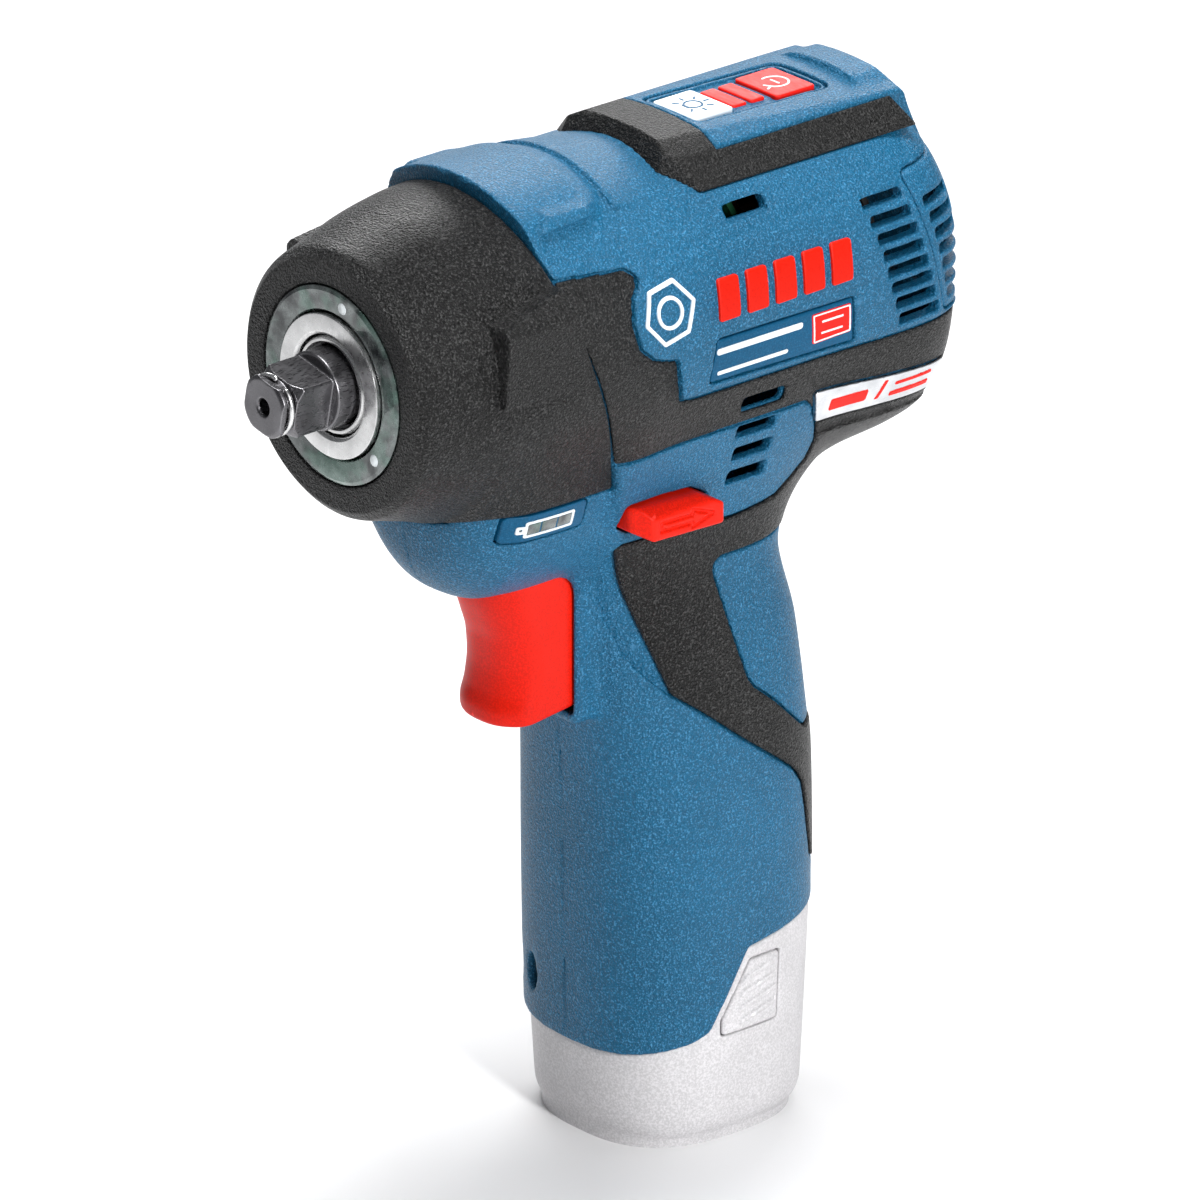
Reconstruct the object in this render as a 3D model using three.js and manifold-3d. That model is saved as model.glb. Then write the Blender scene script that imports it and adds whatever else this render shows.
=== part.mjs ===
// Compact cordless impact wrench with a slide-in battery pack.
// Millimetres, +Z up. The anvil points to -Y, the tool's left side faces +X.
// The origin is the centre of the battery pack's flat base.
import * as THREE from 'three';
import { mergeVertices } from 'three/addons/utils/BufferGeometryUtils.js';
import Module from 'manifold-3d';

const wasm = await Module();
wasm.setup();

// ---------------------------------------------------------------- dimensions
const AXIS_Z = 152;          // height of the spindle axis
const GAP = 0.3;             // clearance between neighbouring pieces
const WALL = 2.4;            // housing wall of the head
const GRIP_WALL = 1.8;       // housing wall of the handle
const SKIN = 0.7;            // thickness of the soft overmould
const DRIVE = 9.525;         // 3/8 inch square drive, across flats
const DRIVE_TURN = 11.7;     // rest angle of the square, degrees
const ANVIL_TIP = -89.25;    // front end of the square
const BOOT_FRONT = -74.5;    // front face of the nose boot
const BLOCK_FRONT = -59;     // front face of the block under the nose
const SEAM_Y = -40.3;        // nose seam where it crosses the axis height
const SEAM_TILT = -0.33;     // the nose seam leans forward towards the top
const REAR_SEAM_Y = 35.8;    // rear cover seam at axis height
const REAR_TILT = -0.285;
const REAR_LOW = -7.5;       // rear cover's lower and upper limits about the axis
const REAR_HIGH = 18;
const SUN_TEETH = 9;
const PLANET_TEETH = 15;
const RING_TEETH = 39;
const PLANET_ORBIT = 12;     // (9 + 15) / 2 with module 1
const CELL_R = 8.9;          // 18650 cell
const CELL_LENGTH = 65;
const STEM = { w: 19.4, front: 20.9, rear: 19.4, top: 73.2 };  // the pack's stem in the handle

// Head sections along Y: half width, height up, height down, exponents up and down.
const HEAD = [
  [-56, 29.2, 29.4, 29.4, 2.0, 2.0],
  [-38, 29.2, 29.4, 29.4, 2.0, 2.0],
  [-30, 29.0, 29.2, 42.5, 2.05, 1.95],
  [-20, 28.8, 28.0, 46.5, 2.4, 1.7],
  [11, 28.8, 27.6, 46.6, 2.5, 1.65],
  [16, 28.8, 27.6, 43.6, 2.5, 1.75],
  [20, 28.8, 27.6, 39.4, 2.5, 1.95],
  [25, 28.7, 27.6, 36.2, 2.5, 2.25],
  [34, 28.2, 27.0, 33.8, 2.4, 2.6],
  [40, 26.6, 25.4, 31.6, 2.3, 2.8],
  [44, 23.6, 22.2, 28.6, 2.2, 2.8],
  [46.2, 19.2, 17.4, 23.6, 2.2, 2.6],
];
// Block under the nose, the same columns.
const BLOCK = [
  [-59, 13.0, 5, 31.0, 2, 2.0],
  [-58.2, 16.5, 5, 35.5, 2, 2.1],
  [-56, 20.0, 5, 40.4, 2, 2.2],
  [-53, 22.3, 5, 43.4, 2, 2.3],
  [-49, 23.8, 5, 45.2, 2, 2.4],
  [-38, 24.4, 5, 46.2, 2, 2.3],
  [-10, 24.4, 5, 46.4, 2, 2.0],
];
// Handle sections up Z: half width, front reach, rear reach.
const HANDLE = [
  [0, 20.8, 21.6, 21.2],
  [1.2, 21.6, 22.4, 22.0],
  [5, 22.1, 22.9, 22.4],
  [48, 22.5, 23.9, 22.5],
  [66, 22.2, 24.2, 22.2],
  [78, 21.2, 25.0, 21.2],
  [90, 19.6, 27.5, 20.0],
  [106, 17.8, 30.3, 16.3],
  [116, 18.2, 33.0, 16.2],
  [130, 19.0, 34.0, 17.0],
];
const HANDLE_EXPONENT = 2.67;

// ---------------------------------------------------------------- materials
const material = (color, roughness, metalness = 0) =>
  new THREE.MeshStandardMaterial({ color, roughness, metalness });
const BLUE = material(0x1f5f8f, 0.55);
const SOFT = material(0x222224, 0.85);
const RED = material(0xe2311d, 0.45);
const GREY = material(0xb9b9bb, 0.6);
const STEEL = material(0x6b6c70, 0.35, 1);
const BRIGHT = material(0xc9cacc, 0.25, 1);
const CAST = material(0x9fa3a6, 0.5, 1);
const COPPER = material(0xb8622c, 0.4, 1);
const LAMINATE = material(0x56585c, 0.5, 1);
const BOARD = material(0x1d5a3a, 0.6);
const DARK = material(0x2b2c2e, 0.6);
const WHITE = material(0xe9ebec, 0.5);
const LENS = material(0xc2cfc6, 0.2);
const SILVER = material(0xc4c7ca, 0.35, 0.6);
const SLEEVE = material(0x2f7f5a, 0.5);

// ---------------------------------------------------------------- solids
function signedVolume(mesh) {
  const { position } = mesh.attributes;
  const [a, b, c] = [new THREE.Vector3(), new THREE.Vector3(), new THREE.Vector3()];
  let total = 0;
  for (let i = 0; i < mesh.index.count; i += 3) {
    a.fromBufferAttribute(position, mesh.index.getX(i));
    b.fromBufferAttribute(position, mesh.index.getX(i + 1));
    c.fromBufferAttribute(position, mesh.index.getX(i + 2));
    total += a.dot(b.cross(c));
  }
  return total;
}

// Closed geometry to solid, turned right side out.
function solid(geometry) {
  const bare = geometry.clone();
  bare.deleteAttribute('normal');
  bare.deleteAttribute('uv');
  const merged = mergeVertices(bare, 1e-4);
  const index = Array.from(merged.index.array);
  const tri = [];
  for (let i = 0; i < index.length; i += 3) {
    const [a, b, c] = index.slice(i, i + 3);
    if (a !== b && b !== c && c !== a) tri.push(a, b, c);
  }
  merged.setIndex(tri);
  if (signedVolume(merged) < 0) {
    for (let i = 0; i < tri.length; i += 3) {
      [tri[i], tri[i + 1]] = [tri[i + 1], tri[i]];
    }
  }
  return new wasm.Manifold(new wasm.Mesh({
    numProp: 3,
    vertProperties: new Float32Array(merged.attributes.position.array),
    triVerts: new Uint32Array(tri),
  }));
}

const join = (...list) => list.reduce((a, b) => a.add(b));
const cut = (body, ...tools) => tools.reduce((a, b) => a.subtract(b), body);
const common = (a, b) => a.intersect(b);

function box(x0, x1, y0, y1, z0, z1) {
  const g = new THREE.BoxGeometry(x1 - x0, y1 - y0, z1 - z0);
  g.translate((x0 + x1) / 2, (y0 + y1) / 2, (z0 + z1) / 2);
  return solid(g);
}

// Cylinders along each axis, given their ends and the position of their centre line.
function rodY(r, y0, y1, x = 0, z = AXIS_Z, sides = 24) {
  const g = new THREE.CylinderGeometry(r, r, y1 - y0, sides);
  g.translate(x, (y0 + y1) / 2, z);
  return solid(g);
}
function rodX(r, x0, x1, y, z, sides = 24) {
  const g = new THREE.CylinderGeometry(r, r, x1 - x0, sides);
  g.rotateZ(Math.PI / 2);
  g.translate((x0 + x1) / 2, y, z);
  return solid(g);
}
function rodZ(r, z0, z1, x, y, sides = 24) {
  const g = new THREE.CylinderGeometry(r, r, z1 - z0, sides);
  g.rotateX(Math.PI / 2);
  g.translate(x, y, (z0 + z1) / 2);
  return solid(g);
}

// A profile of [radius, y] turned about the spindle axis; it closes on itself or on the axis.
function turned(profile, sides = 28) {
  const points = profile.map(([r, y]) => new THREE.Vector2(r, y));
  if (profile[0][0] > 0) points.push(points[0].clone());
  const g = new THREE.LatheGeometry(points, sides);
  g.translate(0, 0, AXIS_Z);
  return solid(g);
}
const sleeve = (r0, r1, y0, y1, sides = 24) =>
  turned([[r0, y0], [r1, y0], [r1, y1], [r0, y1]], sides);

function shapeOf(points, holes = []) {
  const shape = new THREE.Shape(points.map(([u, v]) => new THREE.Vector2(u, v)));
  shape.holes = holes.map((h) => new THREE.Path(h.map(([u, v]) => new THREE.Vector2(u, v))));
  return shape;
}

// An outline in (y, z) extruded from x0 to x1.
function slabX(outline, x0, x1) {
  const g = new THREE.ExtrudeGeometry(shapeOf(outline), { depth: x1 - x0, bevelEnabled: false });
  g.applyMatrix4(new THREE.Matrix4().makeBasis(
    new THREE.Vector3(0, 1, 0), new THREE.Vector3(0, 0, 1), new THREE.Vector3(1, 0, 0)));
  g.translate(x0, 0, 0);
  return solid(g);
}
// An outline in (x, z about the axis) extruded from y0 to y1.
function slabY(outline, y0, y1, holes = []) {
  const g = new THREE.ExtrudeGeometry(shapeOf(outline, holes), { depth: y1 - y0, bevelEnabled: false });
  g.applyMatrix4(new THREE.Matrix4().makeBasis(
    new THREE.Vector3(1, 0, 0), new THREE.Vector3(0, 0, 1), new THREE.Vector3(0, -1, 0)));
  g.translate(0, y1, AXIS_Z);
  return solid(g);
}
// An outline in (x, y) extruded from z0 to z1.
function slabZ(outline, z0, z1) {
  const g = new THREE.ExtrudeGeometry(shapeOf(outline), { depth: z1 - z0, bevelEnabled: false });
  g.translate(0, 0, z0);
  return solid(g);
}

// A skin through rings of equal point count, closed by flat ends.
function loft(rings) {
  const count = rings[0].length;
  const positions = rings.flat(2);
  const index = [];
  for (let r = 0; r + 1 < rings.length; r += 1) {
    for (let i = 0; i < count; i += 1) {
      const j = (i + 1) % count;
      const [a, b, c, d] = [r * count + i, r * count + j, (r + 1) * count + i, (r + 1) * count + j];
      index.push(a, b, d, a, d, c);
    }
  }
  const last = (rings.length - 1) * count;
  for (let i = 1; i + 1 < count; i += 1) {
    index.push(0, i + 1, i);
    index.push(last, last + i, last + i + 1);
  }
  const g = new THREE.BufferGeometry();
  g.setAttribute('position', new THREE.Float32BufferAttribute(positions, 3));
  g.setIndex(index);
  return solid(g);
}

const power = (value, exponent) => Math.sign(value) * Math.abs(value) ** (2 / exponent);

// ---------------------------------------------------------------- outer body
const HEAD_SIDES = 20;
const GRIP_SIDES = 16;

function headRing([y, w, up, down, nUp, nDown], inset) {
  const ring = [];
  for (let i = 0; i < HEAD_SIDES; i += 1) {
    const t = (i / HEAD_SIDES) * 2 * Math.PI;
    const [c, s] = [Math.cos(t), Math.sin(t)];
    const n = s >= 0 ? nUp : nDown;
    const height = (s >= 0 ? up : down) - inset;
    ring.push([(w - inset) * power(c, n), y, AXIS_Z + height * power(s, n)]);
  }
  return ring;
}
function handleRing([z, w, front, rear], inset) {
  const ring = [];
  for (let i = 0; i < GRIP_SIDES; i += 1) {
    const t = (i / GRIP_SIDES) * 2 * Math.PI;
    const [c, s] = [Math.cos(t), Math.sin(t)];
    const reach = (s >= 0 ? rear : front) - inset;
    ring.push([(w - inset) * power(c, HANDLE_EXPONENT), reach * power(s, HANDLE_EXPONENT), z]);
  }
  return ring;
}
// Sections between the listed ones, so that a loft can start or end anywhere.
function between(table, at) {
  if (at <= table[0][0]) return [at, ...table[0].slice(1)];
  const k = table.findIndex((row) => row[0] >= at);
  if (k < 0) return [at, ...table[table.length - 1].slice(1)];
  const [a, b] = [table[k - 1], table[k]];
  const f = (at - a[0]) / (b[0] - a[0]);
  return a.map((value, i) => value + f * (b[i] - value));
}
function span(table, from, to) {
  const inner = table.filter((row) => row[0] > from + 0.01 && row[0] < to - 0.01);
  return [between(table, from), ...inner, between(table, to)];
}
const headSolid = (inset, from, to) => loft(span(HEAD, from, to).map((s) => headRing(s, inset)));
const blockSolid = (inset, from, to) => loft(span(BLOCK, from, to).map((s) => headRing(s, inset)));
const handleSolid = (inset, from, to) =>
  loft(span(HANDLE, from, to).map((s) => handleRing(s, inset)));

// Body of the housing, shrunk by an inset: head, block under the nose and handle.
function bodySolid(inset, gripInset = inset, bottom = 2) {
  const head = headSolid(inset, -56, 46.2 - inset);
  const block = blockSolid(inset, BLOCK_FRONT + inset, -10);
  const handle = handleSolid(gripInset, bottom, 130);
  return join(head, block, handle);
}

const seamAt = (z, shift = 0) => SEAM_Y + SEAM_TILT * (z - AXIS_Z) + shift;
const rearSeamAt = (z, shift = 0) => REAR_SEAM_Y + REAR_TILT * (z - AXIS_Z) + shift;

// Everything ahead of the nose seam, down to a height, and everything behind it.
function aheadOfSeam(low, shift) {
  return slabX([[-100, 200], [seamAt(200, shift), 200], [seamAt(low, shift), low], [-100, low]],
    -40, 40);
}
function behindSeam(shift) {
  return slabX([[seamAt(190, shift), 190], [seamAt(118, shift), 118], [60, 118], [60, 190]], -40, 40);
}
const rearZone = (shift) => slabX([
  [rearSeamAt(AXIS_Z + REAR_HIGH - shift, shift), AXIS_Z + REAR_HIGH - shift],
  [60, AXIS_Z + REAR_HIGH - shift],
  [60, AXIS_Z + REAR_LOW + shift],
  [rearSeamAt(AXIS_Z + REAR_LOW + shift, shift), AXIS_Z + REAR_LOW + shift],
], -40, 40);

// Lower rim of the blue housing: level at the front, stepping up behind the side ribs.
const RIM = [[-80, 16.6], [-24, 17], [-12, 20], [-9, 21.5], [-0.5, 36.5], [80, 36.5]];
const aboveRim = (shift) => slabX(
  [...RIM.map(([y, z]) => [y, z + shift]), [80, 200], [-80, 200]], -40, 40);
const belowRim = (shift) => slabX(
  [...RIM.map(([y, z]) => [y, z + shift]), [80, -5], [-80, -5]], -40, 40);

// Outlines of the soft overmould in side view, (y, z).
const BAND = [
  [-60, 171.2], [-45.2, 169.8], [-30.9, 168.6], [-29.2, 167.2], [-31.1, 164], [-32.2, 160.2],
  [-31.2, 155.7], [-28.4, 153.2], [-23.2, 151.8], [-21.6, 143.6], [60, 143.3], [60, 100],
  [6.5, 100], [6.5, 119], [13.9, 122], [14.2, 124.9], [13, 128.5], [8.6, 134.7],
  [-33.8, 134.4], [-60, 134.4],
];
const GRIP = [
  [-21.9, 115.4], [-26, 115.3], [-28.2, 113.3], [-26.8, 108.2], [-23.8, 97.6], [-21.3, 90.6],
  [-15.6, 85.3], [-2.6, 75], [9.7, 65.6], [13.3, 58.2], [15.9, 47], [17.5, 45.6], [30, 45.6],
  [30, 71.6], [13.8, 71.8], [5.9, 79.2], [0.3, 84.6], [-3.9, 99.6], [-5.4, 106.4], [-4, 107.5],
  [10, 107.9], [30, 108.6], [30, 124], [13.7, 121.4], [7.4, 116.2], [-1.9, 115],
];

function grow(outline, amount) {
  // Outline moved outwards along the averaged edge normals.
  const count = outline.length;
  const area = outline.reduce((sum, [u, v], i) => {
    const [p, q] = outline[(i + 1) % count];
    return sum + u * q - p * v;
  }, 0);
  const side = area > 0 ? 1 : -1;
  return outline.map(([u, v], i) => {
    const [pu, pv] = outline[(i + count - 1) % count];
    const [nu, nv] = outline[(i + 1) % count];
    const a = new THREE.Vector2(u - pu, v - pv).normalize();
    const b = new THREE.Vector2(nu - u, nv - v).normalize();
    const na = new THREE.Vector2(a.y, -a.x).multiplyScalar(side);
    const nb = new THREE.Vector2(b.y, -b.x).multiplyScalar(side);
    const mid = na.clone().add(nb).normalize();
    const reach = amount / Math.max(0.45, mid.dot(na));
    return [u + mid.x * reach, v + mid.y * reach];
  });
}

const halfSpace = (side) => (side > 0 ? box(GAP / 2, 60, -120, 80, -10, 210)
  : box(-60, -GAP / 2, -120, 80, -10, 210));

// ---------------------------------------------------------------- scene graph
const tool = new THREE.Group();
tool.name = 'impact_wrench';

function add(name, body, mat, parent = tool) {
  const mesh = body.getMesh();
  const g = new THREE.BufferGeometry();
  g.setAttribute('position', new THREE.Float32BufferAttribute(mesh.vertProperties, 3));
  g.setIndex(new THREE.Uint32BufferAttribute(mesh.triVerts, 1));
  g.computeVertexNormals();
  const node = new THREE.Mesh(g, mat);
  node.name = name;
  parent.add(node);
  return node;
}

// ---------------------------------------------------------------- nose
const CASE_OUTER = [[12.6, -75.2], [12.6, -70.3], [19.5, -70.3], [21.5, -68.7], [23.2, -63],
  [24.6, -57], [25.5, -50], [25.6, -7]];

function noseBoot() {
  const outer = [[22.2, BOOT_FRONT], [23.4, -72.8], [24.3, -70], [25.8, -65], [27.1, -60],
    [28.0, -55], [28.6, -50], [28.6, -20]];
  const inner = CASE_OUTER.slice(2).map(([r, y]) => [r + GAP, y - GAP * (r < 20 ? 0 : 0.5)]);
  const profile = [[17.5, BOOT_FRONT], ...outer, [25.9, -20], ...inner.slice(0, -1).reverse(),
    [17.5, -70.6]];
  const body = turned(profile, 26);
  return common(body, aheadOfSeam(100, -GAP));
}

function hammerCase() {
  const inner = [[22.8, -7], [22.8, -52], [20.5, -60], [8.9, -60], [8.9, -75.2]];
  return turned([...CASE_OUTER, ...inner], 24);
}

add('nose_boot', noseBoot(), SOFT);
add('hammer_case', hammerCase(), CAST);
add('lamp_lens', sleeve(12.9, 17.2, -74.8, -73.4), LENS);
{
  let board = sleeve(13.2, 17.0, -71.8, -70.7, 24);
  for (const angle of [90, 330, 210]) {
    const a = THREE.MathUtils.degToRad(angle);
    board = join(board, rodY(1.4, -73.1, -71.4, 15.1 * Math.cos(a), AXIS_Z + 15.1 * Math.sin(a), 8));
  }
  add('lamp_board', board, BOARD);
}
add('anvil_bush', sleeve(6.9, 8.6, -73.6, -58.2, 20), BRIGHT);

// ---------------------------------------------------------------- anvil and hammer
function anvil() {
  const h = DRIVE / 2;
  const c = 0.9;
  const square = [[h - c, -h], [h, c - h], [h, h - c], [h - c, h], [c - h, h], [-h, h - c],
    [-h, c - h], [c - h, -h]];
  let drive = slabY(square, ANVIL_TIP, -78.6);
  const envelope = turned([[0, ANVIL_TIP], [4.8, ANVIL_TIP], [5.5, -88.7], [5.5, -88.2],
    [4.2, -88.0], [4.2, -86.3], [5.3, -86.1], [6.6, -84.8], [6.6, -78.6], [0, -78.6]], 20);
  drive = common(drive, envelope);
  const hole = turned([[0, ANVIL_TIP - 1], [1.4, ANVIL_TIP - 1], [1.4, ANVIL_TIP + 2.4],
    [0, ANVIL_TIP + 3.2]], 8);
  const shaft = turned([[0, -79], [6.4, -79], [7.1, -78.2], [7.1, -75.4], [6.6, -75.2],
    [6.6, -57.8], [9.5, -57.8], [9.5, -50], [0, -50]], 20);
  const pilot = turned([[0, -59], [3.3, -59], [3.3, -49], [0, -49]], 12);
  let body = join(drive, shaft);
  for (const turn of [0, 180]) body = join(body, dog(turn, 18, 8.5, 19.6, -55.2, -50));
  return turnedBy(cut(body, hole, pilot), DRIVE_TURN);
}
// One driving dog: a ring sector between two radii.
function dog(centre, halfAngle, r0, r1, y0, y1) {
  const outline = [];
  const steps = 3;
  for (let i = 0; i <= steps; i += 1) {
    const a = THREE.MathUtils.degToRad(centre - halfAngle + (2 * halfAngle * i) / steps);
    outline.push([r1 * Math.cos(a), r1 * Math.sin(a)]);
  }
  for (let i = steps; i >= 0; i -= 1) {
    const a = THREE.MathUtils.degToRad(centre - halfAngle + (2 * halfAngle * i) / steps);
    outline.push([r0 * Math.cos(a), r0 * Math.sin(a)]);
  }
  return slabY(outline, y0, y1);
}
// A solid turned about the spindle axis.
function turnedBy(body, degrees) {
  return body.translate([0, 0, -AXIS_Z]).rotate([0, degrees, 0]).translate([0, 0, AXIS_Z]);
}

const anvilGroup = new THREE.Group();
tool.add(anvilGroup);
add('anvil', anvil(), STEEL, anvilGroup);
{
  const split = box(-1.2, 1.2, -90, -80, AXIS_Z + 2, AXIS_Z + 9);
  const ring = cut(sleeve(4.5, 5.4, -87.7, -86.6, 16), split);
  add('socket_ring', turnedBy(ring, DRIVE_TURN), BRIGHT, anvilGroup);
}

function hammer() {
  let body = turned([[7.4, -49.3], [20.8, -49.3], [20.8, -31], [15, -31], [15, -38.5],
    [7.4, -38.5]], 20);
  for (const turn of [90, 270]) body = join(body, dog(turn, 20, 10.5, 19.6, -54.4, -49));
  // The cam pockets that the two balls run in.
  const pocket = (side) => box(-3.2, 3.2, -52.5, -37, AXIS_Z + side * 8 - 2.4, AXIS_Z + side * 8 + 2.4);
  return turnedBy(cut(body, pocket(1), pocket(-1)), DRIVE_TURN);
}
add('hammer', hammer(), STEEL);

// A coil about a line, as a round wire of few sides.
class Coil extends THREE.Curve {
  constructor(place, turns, radius, length) {
    super();
    Object.assign(this, { place, turns, radius, length_: length });
  }

  getPoint(t, target = new THREE.Vector3()) {
    const a = t * this.turns * 2 * Math.PI;
    return target.copy(this.place(this.radius * Math.cos(a), this.radius * Math.sin(a), t * this.length_));
  }
}
function coil(place, turns, radius, length, wire, stepsPerTurn, sides) {
  const section = [];
  for (let i = 0; i < sides; i += 1) {
    const a = (i / sides) * 2 * Math.PI;
    section.push([wire * Math.cos(a), wire * Math.sin(a)]);
  }
  return solid(new THREE.ExtrudeGeometry(shapeOf(section), {
    steps: Math.round(turns * stepsPerTurn),
    extrudePath: new Coil(place, turns, radius, length),
  }));
}
const hammerSpring = coil((u, v, w) => new THREE.Vector3(u, -36.9 + w, AXIS_Z + v),
  4, 11.8, 15.2, 1.1, 12, 5);
add('hammer_spring', hammerSpring, STEEL);

// ---------------------------------------------------------------- spindle and gears
// Outline of a spur gear with straight flanks.
function gearOutline(teeth, root, tip, halfRoot, halfTip, phase) {
  const points = [];
  for (let i = 0; i < teeth; i += 1) {
    const centre = phase + (i * 2 * Math.PI) / teeth;
    const rows = [[root, -halfRoot], [tip, -halfTip], [tip, halfTip], [root, halfRoot]];
    for (const [r, half] of rows) {
      const a = centre + half / r;
      points.push([r * Math.cos(a), r * Math.sin(a)]);
    }
  }
  return points;
}
const SUN_PHASE = 0;
function planetPhase(theta) {
  const u = ((theta - SUN_PHASE) * SUN_TEETH) / (2 * Math.PI);
  return theta + Math.PI - ((0.5 - u) * 2 * Math.PI) / PLANET_TEETH;
}
function ringPhase() {
  const v = ((0 - planetPhase(0)) * PLANET_TEETH) / (2 * Math.PI);
  return -((v + 0.5) * 2 * Math.PI) / RING_TEETH;
}
const PLANET_ANGLES = [0, 120, 240].map(THREE.MathUtils.degToRad);

function spindle() {
  let body = turned([[0, -57.4], [3.0, -57.4], [3.0, -49.7], [6.6, -49.7], [6.6, -19.9],
    [16.6, -19.9], [16.6, -16.9], [0, -16.9]], 20);
  for (const a of PLANET_ANGLES) {
    body = join(body, rodY(1.9, -17.2, -8.6, PLANET_ORBIT * Math.cos(a),
      AXIS_Z + PLANET_ORBIT * Math.sin(a), 8));
  }
  const pocket = (side) => box(-3.1, 3.1, -46.4, -40.4, AXIS_Z + side * 6.4 - 1.9,
    AXIS_Z + side * 6.4 + 2.6);
  const tilt = (side) => turnedBy(pocket(side), DRIVE_TURN);
  return cut(body, tilt(1), tilt(-1));
}
add('spindle', spindle(), STEEL);
for (const [i, side] of [1, -1].entries()) {
  const g = new THREE.SphereGeometry(2.3, 8, 6);
  g.translate(0, -43.4, AXIS_Z + side * 7.2);
  add(`cam_ball_${i + 1}`, turnedBy(solid(g), DRIVE_TURN), BRIGHT);
}

PLANET_ANGLES.forEach((theta, i) => {
  const outline = gearOutline(PLANET_TEETH, 6.3, 8.3, 0.86, 0.34, planetPhase(theta));
  const place = new THREE.Group();
  place.position.set(PLANET_ORBIT * Math.cos(theta), 0, PLANET_ORBIT * Math.sin(theta));
  tool.add(place);
  const gear = cut(slabY(outline, -15.8, -8.8), rodY(2.25, -17, -7, 0, AXIS_Z, 8));
  add(`planet_gear_${i + 1}`, gear, STEEL, place);
});

function ringGear() {
  const inner = gearOutline(RING_TEETH, 20.5, 18.7, 0.86, 0.34, ringPhase());
  const outer = [];
  for (let i = 0; i < 28; i += 1) {
    const a = (i / 28) * 2 * Math.PI;
    outer.push([22.4 * Math.cos(a), 22.4 * Math.sin(a)]);
  }
  return slabY(outer, -16.4, -8.2, [inner]);
}
add('ring_gear', ringGear(), STEEL);

// ---------------------------------------------------------------- motor
function rotorShaft() {
  const pinion = slabY(gearOutline(SUN_TEETH, 3.35, 5.3, 0.84, 0.34, SUN_PHASE), -15.8, -8.4);
  const shaft = turned([[0, -9], [2.9, -9], [2.9, 6], [4, 6], [4, 25], [2.5, 25], [2.5, 40.5],
    [0, 40.5]], 12);
  return join(pinion, shaft);
}
add('rotor_shaft', rotorShaft(), STEEL);
add('rotor_core', sleeve(4.3, 11.2, 7.2, 23.8, 16), LAMINATE);
{
  let fan = join(sleeve(2.8, 6, 28.6, 34.4, 12), sleeve(5.5, 20.4, 28.6, 29.8, 24));
  for (let i = 0; i < 9; i += 1) {
    const blade = box(7, 20, 29.5, 34, AXIS_Z - 0.6, AXIS_Z + 0.6);
    fan = join(fan, turnedBy(blade, i * 40));
  }
  add('fan', fan, DARK);
}
{
  const plate = turned([[3.4, -7.6], [22.2, -7.6], [22.2, -6.7], [25.3, -6.7], [25.3, -3.8], [10.3, -3.8],
    [10.3, 1.4], [8.3, 1.4], [8.3, -3.4], [3.4, -3.4]], 24);
  add('motor_plate', plate, CAST);
}
add('front_bearing', sleeve(3.2, 8.0, -3.1, 1.2, 16), BRIGHT);
add('rear_bearing', sleeve(2.8, 6.5, 36.8, 40.8, 16), BRIGHT);
add('hall_board', sleeve(10.8, 20.5, 1.9, 3.1, 20), BOARD);

const SLOTS = 6;
function stator() {
  let core = sleeve(18.5, 22.6, 7.2, 23.8, 24);
  for (let i = 0; i < SLOTS; i += 1) {
    const tooth = box(11.9, 19.2, 7.2, 23.8, AXIS_Z - 2.6, AXIS_Z + 2.6);
    const shoe = dog(0, 24, 11.6, 13.4, 7.2, 23.8);
    core = join(core, turnedBy(tooth, i * 60), turnedBy(shoe, i * 60));
  }
  return core;
}
add('stator_core', stator(), LAMINATE);
function windings() {
  let coils = join(sleeve(13.2, 21.0, 3.6, 6.9, 18), sleeve(13.2, 21.0, 24.1, 27.8, 18));
  for (let i = 0; i < SLOTS; i += 1) {
    coils = join(coils, dog(30 + i * 60, 15, 14.2, 18.0, 6.5, 24.5));
  }
  return coils;
}
add('stator_windings', windings(), COPPER);

// ---------------------------------------------------------------- housing
const OUTER = bodySolid(0);
const CORE = bodySolid(SKIN);
const FLOOR = bodySolid(SKIN + GAP);

function collar() {
  const ring = turned([[27, -56], [31.3, -56], [31.4, -36.5], [30.3, -35], [30.3, -31], [29.3, -29.5],
    [27, -29.5]], 26);
  return common(common(ring, behindSeam(0)), box(-40, 40, -60, 0, AXIS_Z + 20.3, AXIS_Z + 40));
}

// Roof: the black frame and the blue panel sit on the head between these heights.
const ROOF_SECTION = [[-18.8, 175.6], [-13.8, 180], [-10, 182], [0, 182.6], [10, 182], [13.8, 180],
  [18.8, 175.6], [18.8, 165], [-18.8, 165]];
function roofBlock(inset = 0) {
  const outline = ROOF_SECTION.map(([x, z]) => [x * (1 - inset / 18.8), z - AXIS_Z - inset]);
  const body = slabY(outline, -20, 44);
  const slope = slabX([[-17.4 + inset, 174], [-10.8 + inset, 182.8], [36, 182.8], [41.4 - inset, 180],
    [43 - inset, 175], [43.6 - inset, 160], [-17.4 + inset, 160]], -30, 30);
  const plan = slabZ([[-11 - inset, -30], [11 + inset, -30], [11, -14.9 + inset],
    [20, -8.4 + inset], [20, 60], [-20, 60], [-20, -8.4 + inset], [-11, -14.9 + inset]], 150, 200);
  return common(common(body, slope), plan);
}
const ROOF_FLOOR = bodySolid(0.6);
const panelZone = (g) => join(
  box(-13.8 - g, 13.8 + g, -1.3 - g, 60, 160, 200),
  box(-11 - g, 11 + g, -3.5 - g, 0, 160, 200));
const bandZone = (g) => box(-30, 30, -30, 39.4 + g, 174.9 - g, 200);

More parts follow.
